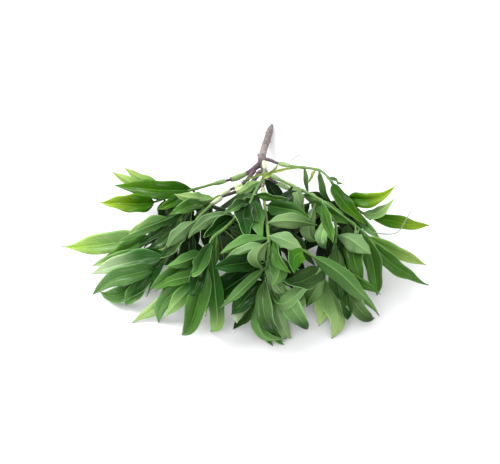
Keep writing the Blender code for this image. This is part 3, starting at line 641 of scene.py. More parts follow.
def blade_shell(leaf, extra=0.0):
    """A leaf as a closed shell that ends in a point, its two faces split alike."""
    frames = leaf_frames(leaf, RINGS)
    upright = frames[-2][3].z > 0
    centre, _, across, outward = frames[0]
    half, rib = STALK_HALF_WIDTH + extra, STALK_HALF_WIDTH * 0.8 + extra
    points = [centre - across * half, centre + outward * rib,
              centre + across * half, centre - outward * rib]
    for t, frame in zip(RINGS[1:-1], frames[1:-1]):
        thick = BLADE_MIDRIB + (BLADE_EDGE - BLADE_MIDRIB) * t
        ring = blade_ring(frame, half_width(t, leaf), thick, extra)
        points += rest_on_surface(ring[:3], ring[3:], upright, extra)
    centre, _, _, outward = frames[-1]
    tip = [centre + outward * (BLADE_EDGE / 2 + extra)], [centre - outward * (BLADE_EDGE / 2 + extra)]
    points += rest_on_surface(*tip, upright, extra)
    faces = [(0, 2, 1), (0, 3, 2), (0, 4, 9), (2, 7, 6)]
    for a, b, c, d in ((0, 1, 5, 4), (1, 2, 6, 5), (2, 3, 8, 7), (3, 0, 9, 8)):
        faces += [(a, b, c), (a, c, d)]
    for r in range(len(RINGS) - 3):
        a, b = 4 + r * 6, 10 + r * 6
        for k in (0, 1):
            faces += [(a + k, a + k + 1, b + k + 1), (a + k, b + k + 1, b + k)]
            m, n = a + 5 - k, b + 5 - k
            faces += [(m, n - 1, m - 1), (m, n, n - 1)]
        faces += [(a + 2, a + 3, b + 3), (a + 2, b + 3, b + 2)]
        faces += [(a + 5, a, b), (a + 5, b, b + 5)]
    z = len(points) - 8
    over, below = z + 6, z + 7
    faces += [(z, z + 1, over), (z + 1, z + 2, over), (z + 2, z + 3, below), (z + 2, below, over)]
    faces += [(z + 3, z + 4, below), (z + 4, z + 5, below), (z + 5, z, over), (z + 5, over, below)]
    return points, faces


print("a leaf's plain shell has", len(RINGS), "rings")

# %% [markdown]
# From a row to a leaf
#
# A row gives the tip and the middle as the picture shows them, so the midrib's curve can be worked
# out. The picture can't tell how much a leaf points at the camera. Where a leaf looks too short for
# its width, its tip is moved toward the eye until its length is right, which keeps its place in
# the picture.

# %% Listed leaves
LEAF_SPACING = 3.0
LEAF_ASPECT = 3.7
LOW_TIP = 5.0
REACH_STEP = 2.0
MOST_REACH = 24.0


def leaf_through(base, middle, tip, turn, twist, width, facing, hook=0.0, taper=TAPER):
    """A leaf whose midrib runs through three points, with its outer half raised by the hook."""
    control = middle * 2 - (base + tip) / 2
    first = base.lerp(control, 2 / 3)
    second = tip.lerp(control, 2 / 3) + Vector((0, 0, hook))
    return Leaf(base, first, second, tip, turn, twist, width, facing, taper)


def nearer(point, step):
    """The point moved toward the eye, where the photograph shows it at the same place."""
    return point + (EYE - point).normalized() * step


def finer(course):
    """A course with three more points in each gap."""
    return [a.lerp(b, k / 4) for a, b in zip(course, course[1:]) for k in range(4)] + [course[-1]]


def nearest_on(course, right, down, taken):
    """The free point of a course that the photograph shows nearest to a place in its frame."""
    free = [p for p in course[2:-3] if all((p - other).length > LEAF_SPACING for other in taken)]

    def gap(point):
        seen = seen_at(point)
        return (seen[0] - right) ** 2 + (seen[1] - down) ** 2
    nearest = min(free, key=gap)
    taken.append(nearest)
    return nearest


def photo_leaf(row, course, taken):
    """The leaf that one row of a spray's list describes."""
    right, down, height, base_right, base_down, arch, turn, width, *more = row
    base = nearest_on(course, base_right, base_down, taken)
    tip = sight(right, down, height)
    reach = 0.0
    while height > LOW_TIP and reach < MOST_REACH and (tip - base).length < LEAF_ASPECT * width:
        reach += REACH_STEP
        tip = nearer(tip, REACH_STEP)
    middle = (base + tip) / 2 + Vector((0, 0, arch))
    if len(more) > 1:
        middle = sight(more[0], more[1], middle.z)
    twist, hook, taper = (*more[2:], *(0.0, 0.0, TAPER)[max(0, len(more) - 2):])
    return leaf_through(base, middle, tip, turn, twist, width, -VIEW_AXIS, hook, taper)


first_leaf = photo_leaf(HIGH_LEFT.leaves[0], finer(stem_course(HIGH_LEFT)), [])
print("the first leaf is", round((first_leaf.tip - first_leaf.base).length), "mm from base to tip")

# %% [markdown]
# Leaves make room for each other
#
# On the real branch no leaf passes through another one: they push each other aside. Here each leaf
# is bent toward the eye or away from it, by the smallest step that leaves it clear. In the
# picture that hardly moves it. The stalk may touch its own stem, so it is left out of that test.

# %% Tests for crossings
ROOM = 0.7
STALK_FREE_PART = 0.16


def tree_of(shell):
    """A search tree of a shell."""
    points, faces = shell
    return BVHTree.FromPolygons([p.to_tuple() for p in points], faces, all_triangles=True)


def past_stalk(shell):
    """A leaf's shell without the part next to the stem, for the crossing test."""
    points, faces = shell
    first = 4 + 6 * sum(1 for t in RINGS[1:] if t < STALK_FREE_PART)
    return points, [face for face in faces if min(face) >= first]


def box_of(points):
    """The lowest and highest corners."""
    return [(min(p[i] for p in points), max(p[i] for p in points)) for i in range(3)]


def boxes_meet(a, b):
    """Whether two boxes overlap."""
    return all(a[i][0] <= b[i][1] and b[i][0] <= a[i][1] for i in range(3))


def crosses(shell, placed, counts):
    """Whether a shell crosses any placed one whose owner and kind count."""
    box, tree = box_of(shell[0]), tree_of(shell)
    return any(counts(owner, kind) and boxes_meet(box, other_box) and tree.overlap(other_tree)
               for owner, kind, other_box, other_tree in placed)


def clear_of_others(leaf, name, placed):
    """Whether the whole leaf, stalk included, is clear of other sprays and of the wood."""
    return not (crosses(past_stalk(blade_shell(leaf, ROOM)), placed, lambda owner, kind: owner != name)
                or crosses(blade_shell(leaf, ROOM / 2), placed, lambda owner, kind: owner != name))


def clear_of_own(leaf, name, placed):
    """Whether the leaf past its stalk is clear of its own spray's other leaves."""
    return not crosses(past_stalk(blade_shell(leaf, ROOM)), placed,
                       lambda owner, kind: owner == name and kind != "stem")


def remember(placed, name, kind, shell):
    """Add a shell to what later leaves keep clear of."""
    placed.append((name, kind, box_of(shell[0]), tree_of(shell)))


print("leaves keep", ROOM, "mm clear of each other")

# %% [markdown]
# Bends, from the least to the most
#
# A leaf's tip and its middle can each move toward the eye or away from it. All pairs of steps are
# sorted by how much they bend the leaf, and a bend toward the eye comes before the same bend away
# from it. The first one that leaves the leaf clear is taken.

# %% Bend each leaf clear of what is there
BEND_STEPS = (0, 3, -3, 6, -6, 9, -9, 13, -13, 17, -17, 22, 27)
LOWEST_TIP = 0.8
LOWEST_ARCH = 2.0
BENDS = sorted(((a, b) for a in BEND_STEPS for b in BEND_STEPS),
               key=lambda step: abs(step[0]) + 1.2 * abs(step[1]) - 0.1 * step[0])


def bent(leaf, tip_step, middle_step):
    """The leaf with its tip and middle moved toward the eye or away from it."""
    tip = nearer(leaf.tip, tip_step)
    tip.z = max(tip.z, min(leaf.tip.z, LOWEST_TIP))
    first = nearer(leaf.first, 4 / 3 * middle_step)
    second = nearer(leaf.second, 4 / 3 * middle_step + (tip_step - middle_step) / 3)
    first.z, second.z = max(first.z, LOWEST_ARCH), max(second.z, LOWEST_ARCH)
    return leaf._replace(first=first, second=second, tip=tip)


def cleared_leaf(leaf, name, placed):
    """The least bent form of the leaf that crosses nothing, or else nothing of another spray."""
    spare = None
    for tip_step, middle_step in BENDS:
        tried = bent(leaf, tip_step, middle_step)
        if clear_of_others(tried, name, placed):
            if clear_of_own(tried, name, placed):
                return tried
            spare = spare or tried
    return spare


print(len(BENDS), "bends are tried at most")

# %% [markdown]
# The hidden leaves
#
# Behind the leaves that show, the bush is full of others. They are drawn by a rule with a seeded
# draw: alternate sides, pointing outward and down. A draw is kept when the leaf crosses nothing,
# lies within the foliage's outline as the picture shows it, and hides none of the listed leaves.

# %% Leaves drawn by rule
FILL_TRIES = 160
FILL_FROM, FILL_OVER = 0.08, 0.88
LEAF_LENGTH = 76.0
LENGTH_SHARE = (0.75, 0.98)
SIDEWAYS = (-0.3, 1.2)
FORWARD = (-0.3, 1.0)
DOWNWARD = (-1.0, 0.0)
TIP_HEIGHT = (1.0, 9.0)
ARCH = (2, 9)
LEAN = (-25, 25)
BLADE_WIDTH = (15, 19)
SIGHT_PARTS = (0.25, 0.4, 0.55, 0.7, 0.85, 1.0)
SIGHT_SIDE = 4.0
OUTLINE = ((240, 179), (262, 174), (290, 172), (318, 178), (340, 188), (362, 211), (372, 224),
           (382, 238), (402, 252), (420, 263), (404, 263), (422, 283), (404, 278), (384, 264),
           (383, 286), (377, 317), (350, 321), (338, 330), (320, 321), (308, 327), (297, 335),
           (283, 344), (258, 337), (232, 331), (212, 329), (203, 311), (185, 333), (165, 315),
           (136, 321), (152, 300), (128, 303), (102, 291), (101, 284), (112, 272), (95, 267),
           (105, 254), (80, 248), (100, 236), (128, 235), (150, 219), (172, 209), (130, 209),
           (106, 203), (130, 197), (121, 187), (155, 182), (190, 187), (206, 194), (226, 197))


def inside_outline(right, down):
    """Whether a place in the photograph's frame lies within the foliage's outline."""
    inside = False
    for (ax, ay), (bx, by) in zip(OUTLINE, OUTLINE[1:] + OUTLINE[:1]):
        if (ay > down) != (by > down) and right < ax + (down - ay) * (bx - ax) / (by - ay):
            inside = not inside
    return inside


def hides(leaf, shown):
    """Whether the leaf would stand before one that the photograph shows."""
    for centre, _, across, _ in leaf_frames(leaf, SIGHT_PARTS):
        for point in (centre, centre + across * SIGHT_SIDE, centre - across * SIGHT_SIDE):
            if any(tree.ray_cast(point, VIEW_AXIS)[0] for tree in shown):
                return True
    return False


def fill_leaf(draw, base, along, k):
    """A leaf drawn by rule: alternate sides, spread along the stem, mostly low."""
    side = along.cross(Vector((0, 0, 1))).normalized() * (1 if k % 2 else -1)
    direction = side * draw.uniform(*SIDEWAYS) + along * draw.uniform(*FORWARD)
    direction.z = draw.uniform(*DOWNWARD)
    direction.normalize()
    tip = base + direction * LEAF_LENGTH * draw.uniform(*LENGTH_SHARE)
    tip.z = max(tip.z, draw.uniform(*TIP_HEIGHT))
    middle = (base + tip) / 2 + Vector((0, 0, draw.uniform(*ARCH)))
    turn = draw.choice((0, 0, 180)) + draw.uniform(*LEAN)
    return leaf_through(base, middle, tip, turn, draw.uniform(*LEAN), draw.uniform(*BLADE_WIDTH),
                        Vector((0, 0, 1)))


def fill_base(course, k, count, taken):
    """A free place for one of count leaves spread along the stem, and the stem's direction there."""
    last = len(course) - 1
    part = (k + 0.5) / count * FILL_OVER + FILL_FROM
    index = min(last - 1, max(1, round(part * last)))
    base = nearest_on(course, *seen_at(course[index]), taken)
    return base, (course[index + 1] - course[index - 1]).normalized()


def fill_in(draw, name, course, k, count, taken, placed, shown):
    """The first draw that is clear of everything, within the outline and hides no listed leaf."""
    base, along = fill_base(course, k, count, taken)
    for _ in range(FILL_TRIES):
        leaf = fill_leaf(draw, base, along, k)
        if (all(inside_outline(*seen_at(p)) for p in blade_shell(leaf)[0])
                and clear_of_others(leaf, name, placed) and clear_of_own(leaf, name, placed)
                and not hides(leaf, shown)):
            return leaf
    taken.remove(base)
    return None


print(sum(spray.fill for spray in SPRAYS), "hidden leaves are wanted")

# %% [markdown]
# Lay out the whole branch
#
# The wood and the green stems come first, then the listed leaves one after the other, then the
# hidden ones. Each keeps clear of all that came before. The solids were laid out in the same order
# with the same draws, so every leaf here lies where its solid lies.

# %% Lay out every leaf
FILL_SEED = 11


def lay_stems(placed):
    """Put the wood and the green stems in place, and give each spray's course for its leaves."""
    for shell in wood_shells():
        remember(placed, "woody_stem", "wood", shell)
    courses = {}
    for spray in SPRAYS:
        shells = [stem_shell(spray)]
        course = stem_course(spray)
        for places in spray.shoots:
            shells.append(thin_shell(places, SHOOT_RADIUS, STEM_END_RADIUS))
            course = course + smooth_course([sight(*place) for place in places], 2 * SHELL_STEPS)
        if spray.tendril:
            shells.append(thin_shell(spray.tendril, TENDRIL_RADIUS, TENDRIL_RADIUS))
        for shell in shells:
            remember(placed, spray.name, "stem", shell)
        courses[spray.name] = finer(course)
    return courses


def lay_out_branch():
    """Each leaf's spray and its cleared form, the listed ones first. One without room is None."""
    placed, taken, layout = [], [], []
    courses = lay_stems(placed)
    wanted = [(spray.name, photo_leaf(row, courses[spray.name], taken))
              for spray in SPRAYS for row in spray.leaves]
    for name, leaf in wanted:
        cleared = cleared_leaf(leaf, name, placed)
        layout.append((name, cleared))
        if cleared is not None:
            remember(placed, name, "leaf", blade_shell(cleared))
    shown = [tree for _, kind, _, tree in placed if kind == "leaf"]
    draw = random.Random(FILL_SEED)
    for spray in SPRAYS:
        course = finer(stem_course(spray))
        for k in range(spray.fill):
            leaf = fill_in(draw, spray.name, course, k, spray.fill, taken, placed, shown)
            layout.append((spray.name, leaf))
            if leaf is not None:
                remember(placed, spray.name, "leaf", blade_shell(leaf))
    return layout


layout = lay_out_branch()
print(sum(leaf is not None for name, leaf in layout), "leaves in all")

# %% [markdown]
# The camera, the table and the light
#
# The camera stands at the eye of the layout, so the branch fills the picture as it does in the
# photograph. The table is one large pale sheet. The light is a wide soft box at the upper left
# behind the branch, which draws the broad gloss along the leaves. A weaker one in front lifts the
# dark sides, and an even white surround keeps the shadows faint.

# %% Stand the camera, table and lights
LENS = 75.0
SENSOR = 36.0
TABLE_SIZE = 8.0
PAPER_WHITE = (0.83, 0.822, 0.842, 1)
PAPER_ROUGHNESS = 0.9
SURROUND = 1.12
SOFT_BOXES = {
    "key_light": {"place": (-1.1, 0.35, 1.25), "size": 0.9, "power": 26.0},
    "fill_light": {"place": (-0.5, -1.2, 1.5), "size": 1.6, "power": 14.0},
}


def in_metres(point):
    """A point of the layout, in the frame that the solids use."""
    return (point - ORIGIN) * MM


def stand_camera():
    """A camera at the eye, looking at the layout's aim."""
    bpy.ops.object.camera_add(location=in_metres(EYE))
    camera = bpy.context.object
    camera.name = "camera"
    camera.data.lens = LENS
    camera.data.sensor_width = SENSOR
    camera.rotation_euler = VIEW_AXIS.to_track_quat("-Z", "Y").to_euler()
    bpy.context.scene.camera = camera


def lay_table():
    """A pale matt sheet that isn't part of the branch."""
    bpy.ops.mesh.primitive_plane_add(size=TABLE_SIZE, location=(0, 0, 0))
    table = bpy.context.object
    table.name = "table"
    paper = bpy.data.materials.new("white_paper")
    paper.use_nodes = True
    shader = paper.node_tree.nodes["Principled BSDF"]
    shader.inputs["Base Color"].default_value = PAPER_WHITE
    shader.inputs["Roughness"].default_value = PAPER_ROUGHNESS
    table.data.materials.append(paper)


def hang_light(name, place, size, power):
    """A square soft box that faces the branch."""
    bpy.ops.object.light_add(type="AREA", location=place)
    light = bpy.context.object
    light.name = name
    light.data.size = size
    light.data.energy = power
    light.rotation_euler = (-Vector(place)).to_track_quat("-Z", "Y").to_euler()


stand_camera()
lay_table()
for name, box in SOFT_BOXES.items():
    hang_light(name, **box)
world = bpy.data.worlds.new("surround")
world.use_nodes = True
world.node_tree.nodes["Background"].inputs["Color"].default_value = (1, 1, 1, 1)
world.node_tree.nodes["Background"].inputs["Strength"].default_value = SURROUND
bpy.context.scene.world = world
bpy.context.scene.view_settings.view_transform = "Standard"
print("camera, table and", len(SOFT_BOXES), "lights are in place")

# %% [markdown]
# Helpers for shader nodes
#
# A material here is a small tree of nodes, and a few helpers keep the trees short to write. They add
# a node and fill or link its inputs, do a sum, step smoothly from one value to another, or mix two
# colours. The last ones start a node group with named sockets and use it, so that an effect that
# several finishes share is built once.

# %% Node helpers
def add_node(tree, kind, inputs=None, **settings):
    """A node whose inputs, named or numbered, are set to a value or linked to a socket."""
    made = tree.nodes.new(kind)
    for key, value in settings.items():
        setattr(made, key, value)
    for key, value in (inputs or {}).items():
        if isinstance(value, bpy.types.NodeSocket):
            tree.links.new(value, made.inputs[key])
        else:
            made.inputs[key].default_value = value
    return made


def calc(tree, operation, first, second=0.0, third=0.0):
    """The result of a Math node."""
    made = add_node(tree, "ShaderNodeMath", {0: first, 1: second, 2: third}, operation=operation)
    return made.outputs[0]


def ramp(tree, value, low, high, start=0.0, end=1.0):
    """A smooth step from start to end, as the value goes from low to high."""
    made = add_node(tree, "ShaderNodeMapRange", {0: value, 1: low, 2: high, 3: start, 4: end},
                    interpolation_type="SMOOTHSTEP")
    return made.outputs[0]


def blend_colours(tree, factor, first, second, how="MIX"):
    """Two colours mixed by a factor."""
    made = add_node(tree, "ShaderNodeMix", {0: factor, 6: first, 7: second}, data_type="RGBA",
                    blend_type=how)
    return made.outputs[2]


def new_group(name, inputs, outputs):
    """An empty node group with named sockets, and its two end nodes."""
    group = bpy.data.node_groups.new(name, "ShaderNodeTree")
    for socket, kind in inputs.items():
        group.interface.new_socket(socket, in_out="INPUT", socket_type=kind)
    for socket, kind in outputs.items():
        group.interface.new_socket(socket, in_out="OUTPUT", socket_type=kind)
    return group, group.nodes.new("NodeGroupInput"), group.nodes.new("NodeGroupOutput")


def use_group(tree, group, inputs):
    """A copy of a node group in a material, with its inputs filled."""
    return add_node(tree, "ShaderNodeGroup", inputs, node_tree=group)


def colour(red, green, blue):
    """A screen colour, from 0 to 255, as the linear colour that shaders use."""
    steps = [c / 255 for c in (red, green, blue)]
    return tuple(c / 12.92 if c <= 0.04045 else ((c + 0.055) / 1.055) ** 2.4 for c in steps) + (1.0,)


print("white is", colour(255, 255, 255))

# %% [markdown]
# Two effects that the finishes share
#
# Mottle is the slow change of tone over anything that grew: two sizes of cloud that lighten and
# darken a colour. Blade marks are what a leaf carries along its own length: the pale midrib, the
# side veins that leave it at a slant, fine streaks between them, the pale margin, patches that gleam
# more than the rest, and the tip that has dried brown. They read the leaf's own map, so they follow
# every bend of the blade.

# %% Node groups: mottle and blade marks
FINER_CLOUDS = 6.5
FINE_SHARE = 0.4
MIDDLE_OF_BOTH = 0.7
SIDE_VEINS = 15.0
VEIN_SLANT = -1.5
MARKS = ("Midrib", "Veins", "Streaks", "Margin", "Gleam", "Tip")


def noise(tree, vector, scale, detail):
    """A cloud of grey values."""
    made = add_node(tree, "ShaderNodeTexNoise", {"Vector": vector, "Scale": scale, "Detail": detail})
    return made.outputs["Fac"]


def pulled(tree, vector, factors):
    """A map stretched by a factor for each of its directions."""
    made = add_node(tree, "ShaderNodeVectorMath", {0: vector, 1: factors}, operation="MULTIPLY")
    return made.outputs[0]


def build_mottle():
    """A factor near 1 that changes slowly, for a colour to be multiplied by."""
    sockets = {"Vector": "NodeSocketVector", "Scale": "NodeSocketFloat", "Amount": "NodeSocketFloat"}
    group, start, end = new_group("mottle", sockets, {"Factor": "NodeSocketFloat"})
    vector, scale = start.outputs["Vector"], start.outputs["Scale"]
    broad = noise(group, vector, scale, 3.0)
    fine = noise(group, vector, calc(group, "MULTIPLY", scale, FINER_CLOUDS), 2.0)
    both = calc(group, "MULTIPLY_ADD", fine, FINE_SHARE, calc(group, "SUBTRACT", broad, MIDDLE_OF_BOTH))
    swing = calc(group, "MULTIPLY", both, start.outputs["Amount"])
    group.links.new(calc(group, "ADD", swing, 1.0), end.inputs["Factor"])
    return group


def build_blade_marks():
    """Masks along a leaf's own map: midrib, side veins, streaks, margin, gleam and dried tip."""
    group, start, end = new_group("blade_marks", {"Map": "NodeSocketVector"},
                                  {name: "NodeSocketFloat" for name in MARKS})
    own_map = start.outputs["Map"]
    split = add_node(group, "ShaderNodeSeparateXYZ", {0: own_map})
    along = split.outputs["X"]
    from_middle = calc(group, "SUBTRACT", split.outputs["Y"], 0.5)
    across = calc(group, "MULTIPLY", calc(group, "ABSOLUTE", from_middle), 2.0)
    slant = calc(group, "MULTIPLY_ADD", along, SIDE_VEINS, calc(group, "MULTIPLY", across, VEIN_SLANT))
    near = calc(group, "ABSOLUTE", calc(group, "SUBTRACT", calc(group, "FRACT", slant), 0.5))
    patches = noise(group, pulled(group, own_map, (5.0, 7.0, 1.0)), 1.0, 2.0)
    masks = {
        "Midrib": ramp(group, across, 0.015, 0.075, 1.0, 0.0),
        "Veins": ramp(group, near, 0.02, 0.13, 1.0, 0.0),
        "Streaks": noise(group, pulled(group, own_map, (3.0, 60.0, 1.0)), 1.0, 3.0),
        "Margin": ramp(group, across, 0.84, 0.97),
        "Gleam": ramp(group, patches, 0.5, 0.66),
        "Tip": ramp(group, along, 0.972, 0.992),
    }
    for name in MARKS:
        group.links.new(masks[name], end.inputs[name])
    return group


MOTTLE = build_mottle()
BLADE_MARKS = build_blade_marks()
print("node groups:", MOTTLE.name, BLADE_MARKS.name, MARKS)

# %% [markdown]
# The finishes of a leaf
#
# A bay leaf is satin above and matt below. The upper side is green with a broad patchy gloss, the
# underside is a paler green with its midrib raised, and the edge shows as a thin line. Each leaf
# brings its own tint along its length, as a colour attribute: dark and mature, or yellow-green
# toward the tip where it is young. That bright tip is mostly the leaf's own colour and partly
# painted light, the glow of light through the thin blade. Midrib, side veins and margin are that
# tint made a little lighter, so they stay quiet on a dark leaf as well as on a pale one. How much a
# leaf gleams is also its own. The relief of the ribs is finer than a tenth of a millimetre, so it is
# a bump.

# %% Leaf finishes
DRIED_TIP = colour(74, 52, 30)
DRIED_SHARE = 0.8
MARGIN_LIFT = 0.5
VEIN_LIFT = 1.0
STREAK_RELIEF = 0.7
MAP_NAME = "blade"


def start_material(name):
    """A material with its shader, and its tree."""
    material = bpy.data.materials.new(name)
    material.use_nodes = True
    return material, material.node_tree, material.node_tree.nodes["Principled BSDF"]


def finish_leaf(name, tint, rib_tone, rib_share, rib_lift, vein_share, roughness, relief, shine, coat):
    """A leaf side: its tint with mottle, streaks, veins and the dried tip, its relief and gloss."""
    material, tree, shader = start_material(name)
    own_map = add_node(tree, "ShaderNodeUVMap", uv_map=MAP_NAME).outputs["UV"]
    place = add_node(tree, "ShaderNodeTexCoord").outputs["Object"]
    marks = use_group(tree, BLADE_MARKS, {"Map": own_map})
    mottle = use_group(tree, MOTTLE, {"Vector": place, "Scale": 45.0, "Amount": 0.55})
    base = add_node(tree, "ShaderNodeAttribute", attribute_name=tint).outputs["Color"]
    toned = blend_colours(tree, 1.0, base, mottle.outputs["Factor"], "MULTIPLY")
    streaks = ramp(tree, marks.outputs["Streaks"], 0.3, 0.7, 0.8, 1.16)
    streaked = blend_colours(tree, 1.0, toned, streaks, "MULTIPLY")
    veins = calc(tree, "MULTIPLY", marks.outputs["Veins"], vein_share)
    lift = calc(tree, "MULTIPLY_ADD", veins, VEIN_LIFT, 1.0)
    lift = calc(tree, "MULTIPLY_ADD", marks.outputs["Margin"], MARGIN_LIFT, lift)
    lift = calc(tree, "MULTIPLY_ADD", marks.outputs["Midrib"], rib_lift, lift)
    veined = blend_colours(tree, 1.0, streaked, lift, "MULTIPLY")
    on_rib = calc(tree, "MULTIPLY", marks.outputs["Midrib"], rib_share)
    ribbed = blend_colours(tree, on_rib, veined, rib_tone)
    on_tip = calc(tree, "MULTIPLY", marks.outputs["Tip"], DRIED_SHARE)
    dried = blend_colours(tree, on_tip, ribbed, DRIED_TIP)
    tree.links.new(dried, shader.inputs["Base Color"])
    uneven = ramp(tree, marks.outputs["Streaks"], 0.25, 0.75, roughness - 0.06, roughness + 0.1)
    tree.links.new(uneven, shader.inputs["Roughness"])
    side_ridges = calc(tree, "MULTIPLY", veins, relief)
    ridge = calc(tree, "MULTIPLY_ADD", marks.outputs["Midrib"], relief, side_ridges)
    height = calc(tree, "MULTIPLY_ADD", marks.outputs["Streaks"], STREAK_RELIEF, ridge)
    bump = add_node(tree, "ShaderNodeBump", {"Height": height, "Strength": 0.55, "Distance": 0.0002})
    tree.links.new(bump.outputs["Normal"], shader.inputs["Normal"])
    gloss = add_node(tree, "ShaderNodeAttribute", attribute_name="gloss").outputs["Fac"]
    gleam = calc(tree, "MULTIPLY", calc(tree, "MULTIPLY", marks.outputs["Gleam"], gloss), coat)
    tree.links.new(gleam, shader.inputs["Coat Weight"])
    shader.inputs["Coat Roughness"].default_value = 0.3
    shader.inputs["Coat IOR"].default_value = 1.7
    shader.inputs["Specular IOR Level"].default_value = shine
    shader.inputs["Subsurface Weight"].default_value = 0.12
    shader.inputs["Subsurface Radius"].default_value = (0.5, 1.0, 0.2)
    shader.inputs["Subsurface Scale"].default_value = 0.0006
    return material


LEAF_UPPER = finish_leaf("leaf_upper", "upper_tint", rib_tone=colour(128, 168, 90), rib_share=0.14,
                         rib_lift=0.8, vein_share=0.09, roughness=0.34, relief=-1.0, shine=0.07,
                         coat=0.8)
LEAF_UNDER = finish_leaf("leaf_under", "under_tint", rib_tone=colour(150, 186, 112), rib_share=0.35,
                         rib_lift=0.0, vein_share=0.08, roughness=0.6, relief=1.2, shine=0.08,
                         coat=0.15)
LEAF_EDGE = finish_leaf("leaf_edge", "under_tint", rib_tone=colour(170, 200, 100), rib_share=0.3,
                        rib_lift=0.0, vein_share=0.1, roughness=0.5, relief=0.3, shine=0.1,
                        coat=0.0)
print("leaf finishes:", LEAF_UPPER.name, LEAF_UNDER.name, LEAF_EDGE.name)

# %% [markdown]
# The leaves' tints
#
# Leaves on one branch are far from one green. The tint of each listed leaf is noted as one letter,
# in the order of its spray's list. A tint has the colour near the stalk and the colour at the tip.
# The side that the photograph shows takes the noted tint, and the other side what goes with it.
# The hidden leaves draw from a few dark tints and are darkened further, as painted shade, because
# hardly any light reaches them. The two halves of a blade differ a little in tone, painted light
# and shade for halves that face the light differently, and the leaves on the left carry more
# gloss.

# %% Tints by letter, and each spray's letters
# A tint that turns yellow-green toward the tip is mostly the young leaf's own colour and partly painted
# light: the glow of light through the thin tip.
TINTS = {
    "p": (colour(95, 134, 60), colour(139, 165, 83)),
    "q": (colour(38, 79, 5), colour(62, 102, 9)),
    "o": (colour(140, 153, 70), colour(103, 122, 50)),
    "v": (colour(68, 123, 23), colour(41, 102, 14)),
    "a": (colour(61, 90, 44), colour(20, 56, 9)),
    "b": (colour(32, 66, 19), colour(79, 120, 57)),
    "c": (colour(57, 95, 34), colour(69, 112, 39)),
    "d": (colour(15, 44, 6), colour(24, 64, 13)),
    "e": (colour(133, 174, 107), colour(36, 70, 22)),
    "f": (colour(52, 100, 4), colour(131, 163, 36)),
    "g": (colour(71, 110, 53), colour(90, 128, 68)),
    "h": (colour(102, 129, 81), colour(47, 73, 32)),
    "i": (colour(49, 92, 39), colour(168, 192, 146)),
    # i: dark green at the stalk, whitish toward the tip; the whitish outer half is a painted sheen of
    # glare on the gloss.
    "j": (colour(120, 168, 92), colour(160, 192, 115)),
    "k": (colour(109, 141, 92), colour(104, 134, 84)),
    "l": (colour(120, 157, 92), colour(138, 166, 100)),
    "m": (colour(115, 151, 85), colour(143, 174, 74)),
    "n": (colour(39, 85, 24), colour(128, 163, 93)),
}
LETTERS = {
    "spray_high_left": "ppqfq",
    "spray_mid_left": "lcjbmcaap",
    "spray_low_left": "knigbbda",
    "spray_front_left": "kdbbcgnlclndbc",
    "spray_top": "dbalcbo",
    "spray_centre": "ccbhkgkhcgvggdiddagakeka",
    "spray_low_right": "echekejlcaeeaha",
    "spray_right": "hcpccck",
    "spray_high_right": "oaaogqflfg",
}
# The hidden leaves take only dark tints and are darkened further: painted shade, as little light reaches
# the inside of the bush.
INNER_LETTERS = "aababc"
INNER_PAINTED_SHADE = 0.34
GLOSS_RANGE = (0.0, 0.7)
GLOSSY_SPRAYS = {"spray_high_left", "spray_mid_left", "spray_low_left"}
EXTRA_GLOSS = 0.4
SHADE_RANGE = (0.9, 1.1)
# Painted light and shade: one half of each blade is painted up to this share lighter, the other darker.
HALF_PAINTED_LIGHT = 0.13
TINT_FROM, TINT_OVER = 0.3, 0.6
PALE_SIDE = TINTS["k"]
DARK_SIDE = TINTS["c"]
TINT_SEED = 5

tint_draw = random.Random(TINT_SEED)
letters = [letter for spray in SPRAYS for letter in LETTERS[spray.name]]
print(len(letters), "noted tints for", sum(len(spray.leaves) for spray in SPRAYS), "listed leaves")

# %% [markdown]
# The pattern leaf
#
# All leaves start as one flat pattern, made once and copied. It is a grid: its long lines run from
# stalk to tip, its short lines from edge to edge. The long lines next to the middle are drawn in
# close to it, so that the midrib can be a narrow ridge of its own.

# %% Model the pattern leaf
PATTERN_LENGTHS = 26
PATTERN_ACROSS = (0.0, 0.1, 0.4, 0.72, 1.0)
BLADE_THICKNESS = 0.5
RIB_THICKNESS = 1.15
THIN_SHARE = BLADE_THICKNESS / RIB_THICKNESS
STALK_FADE = 1.6
SAME_LINE = 0.01
ON_MIDRIB = 0.05


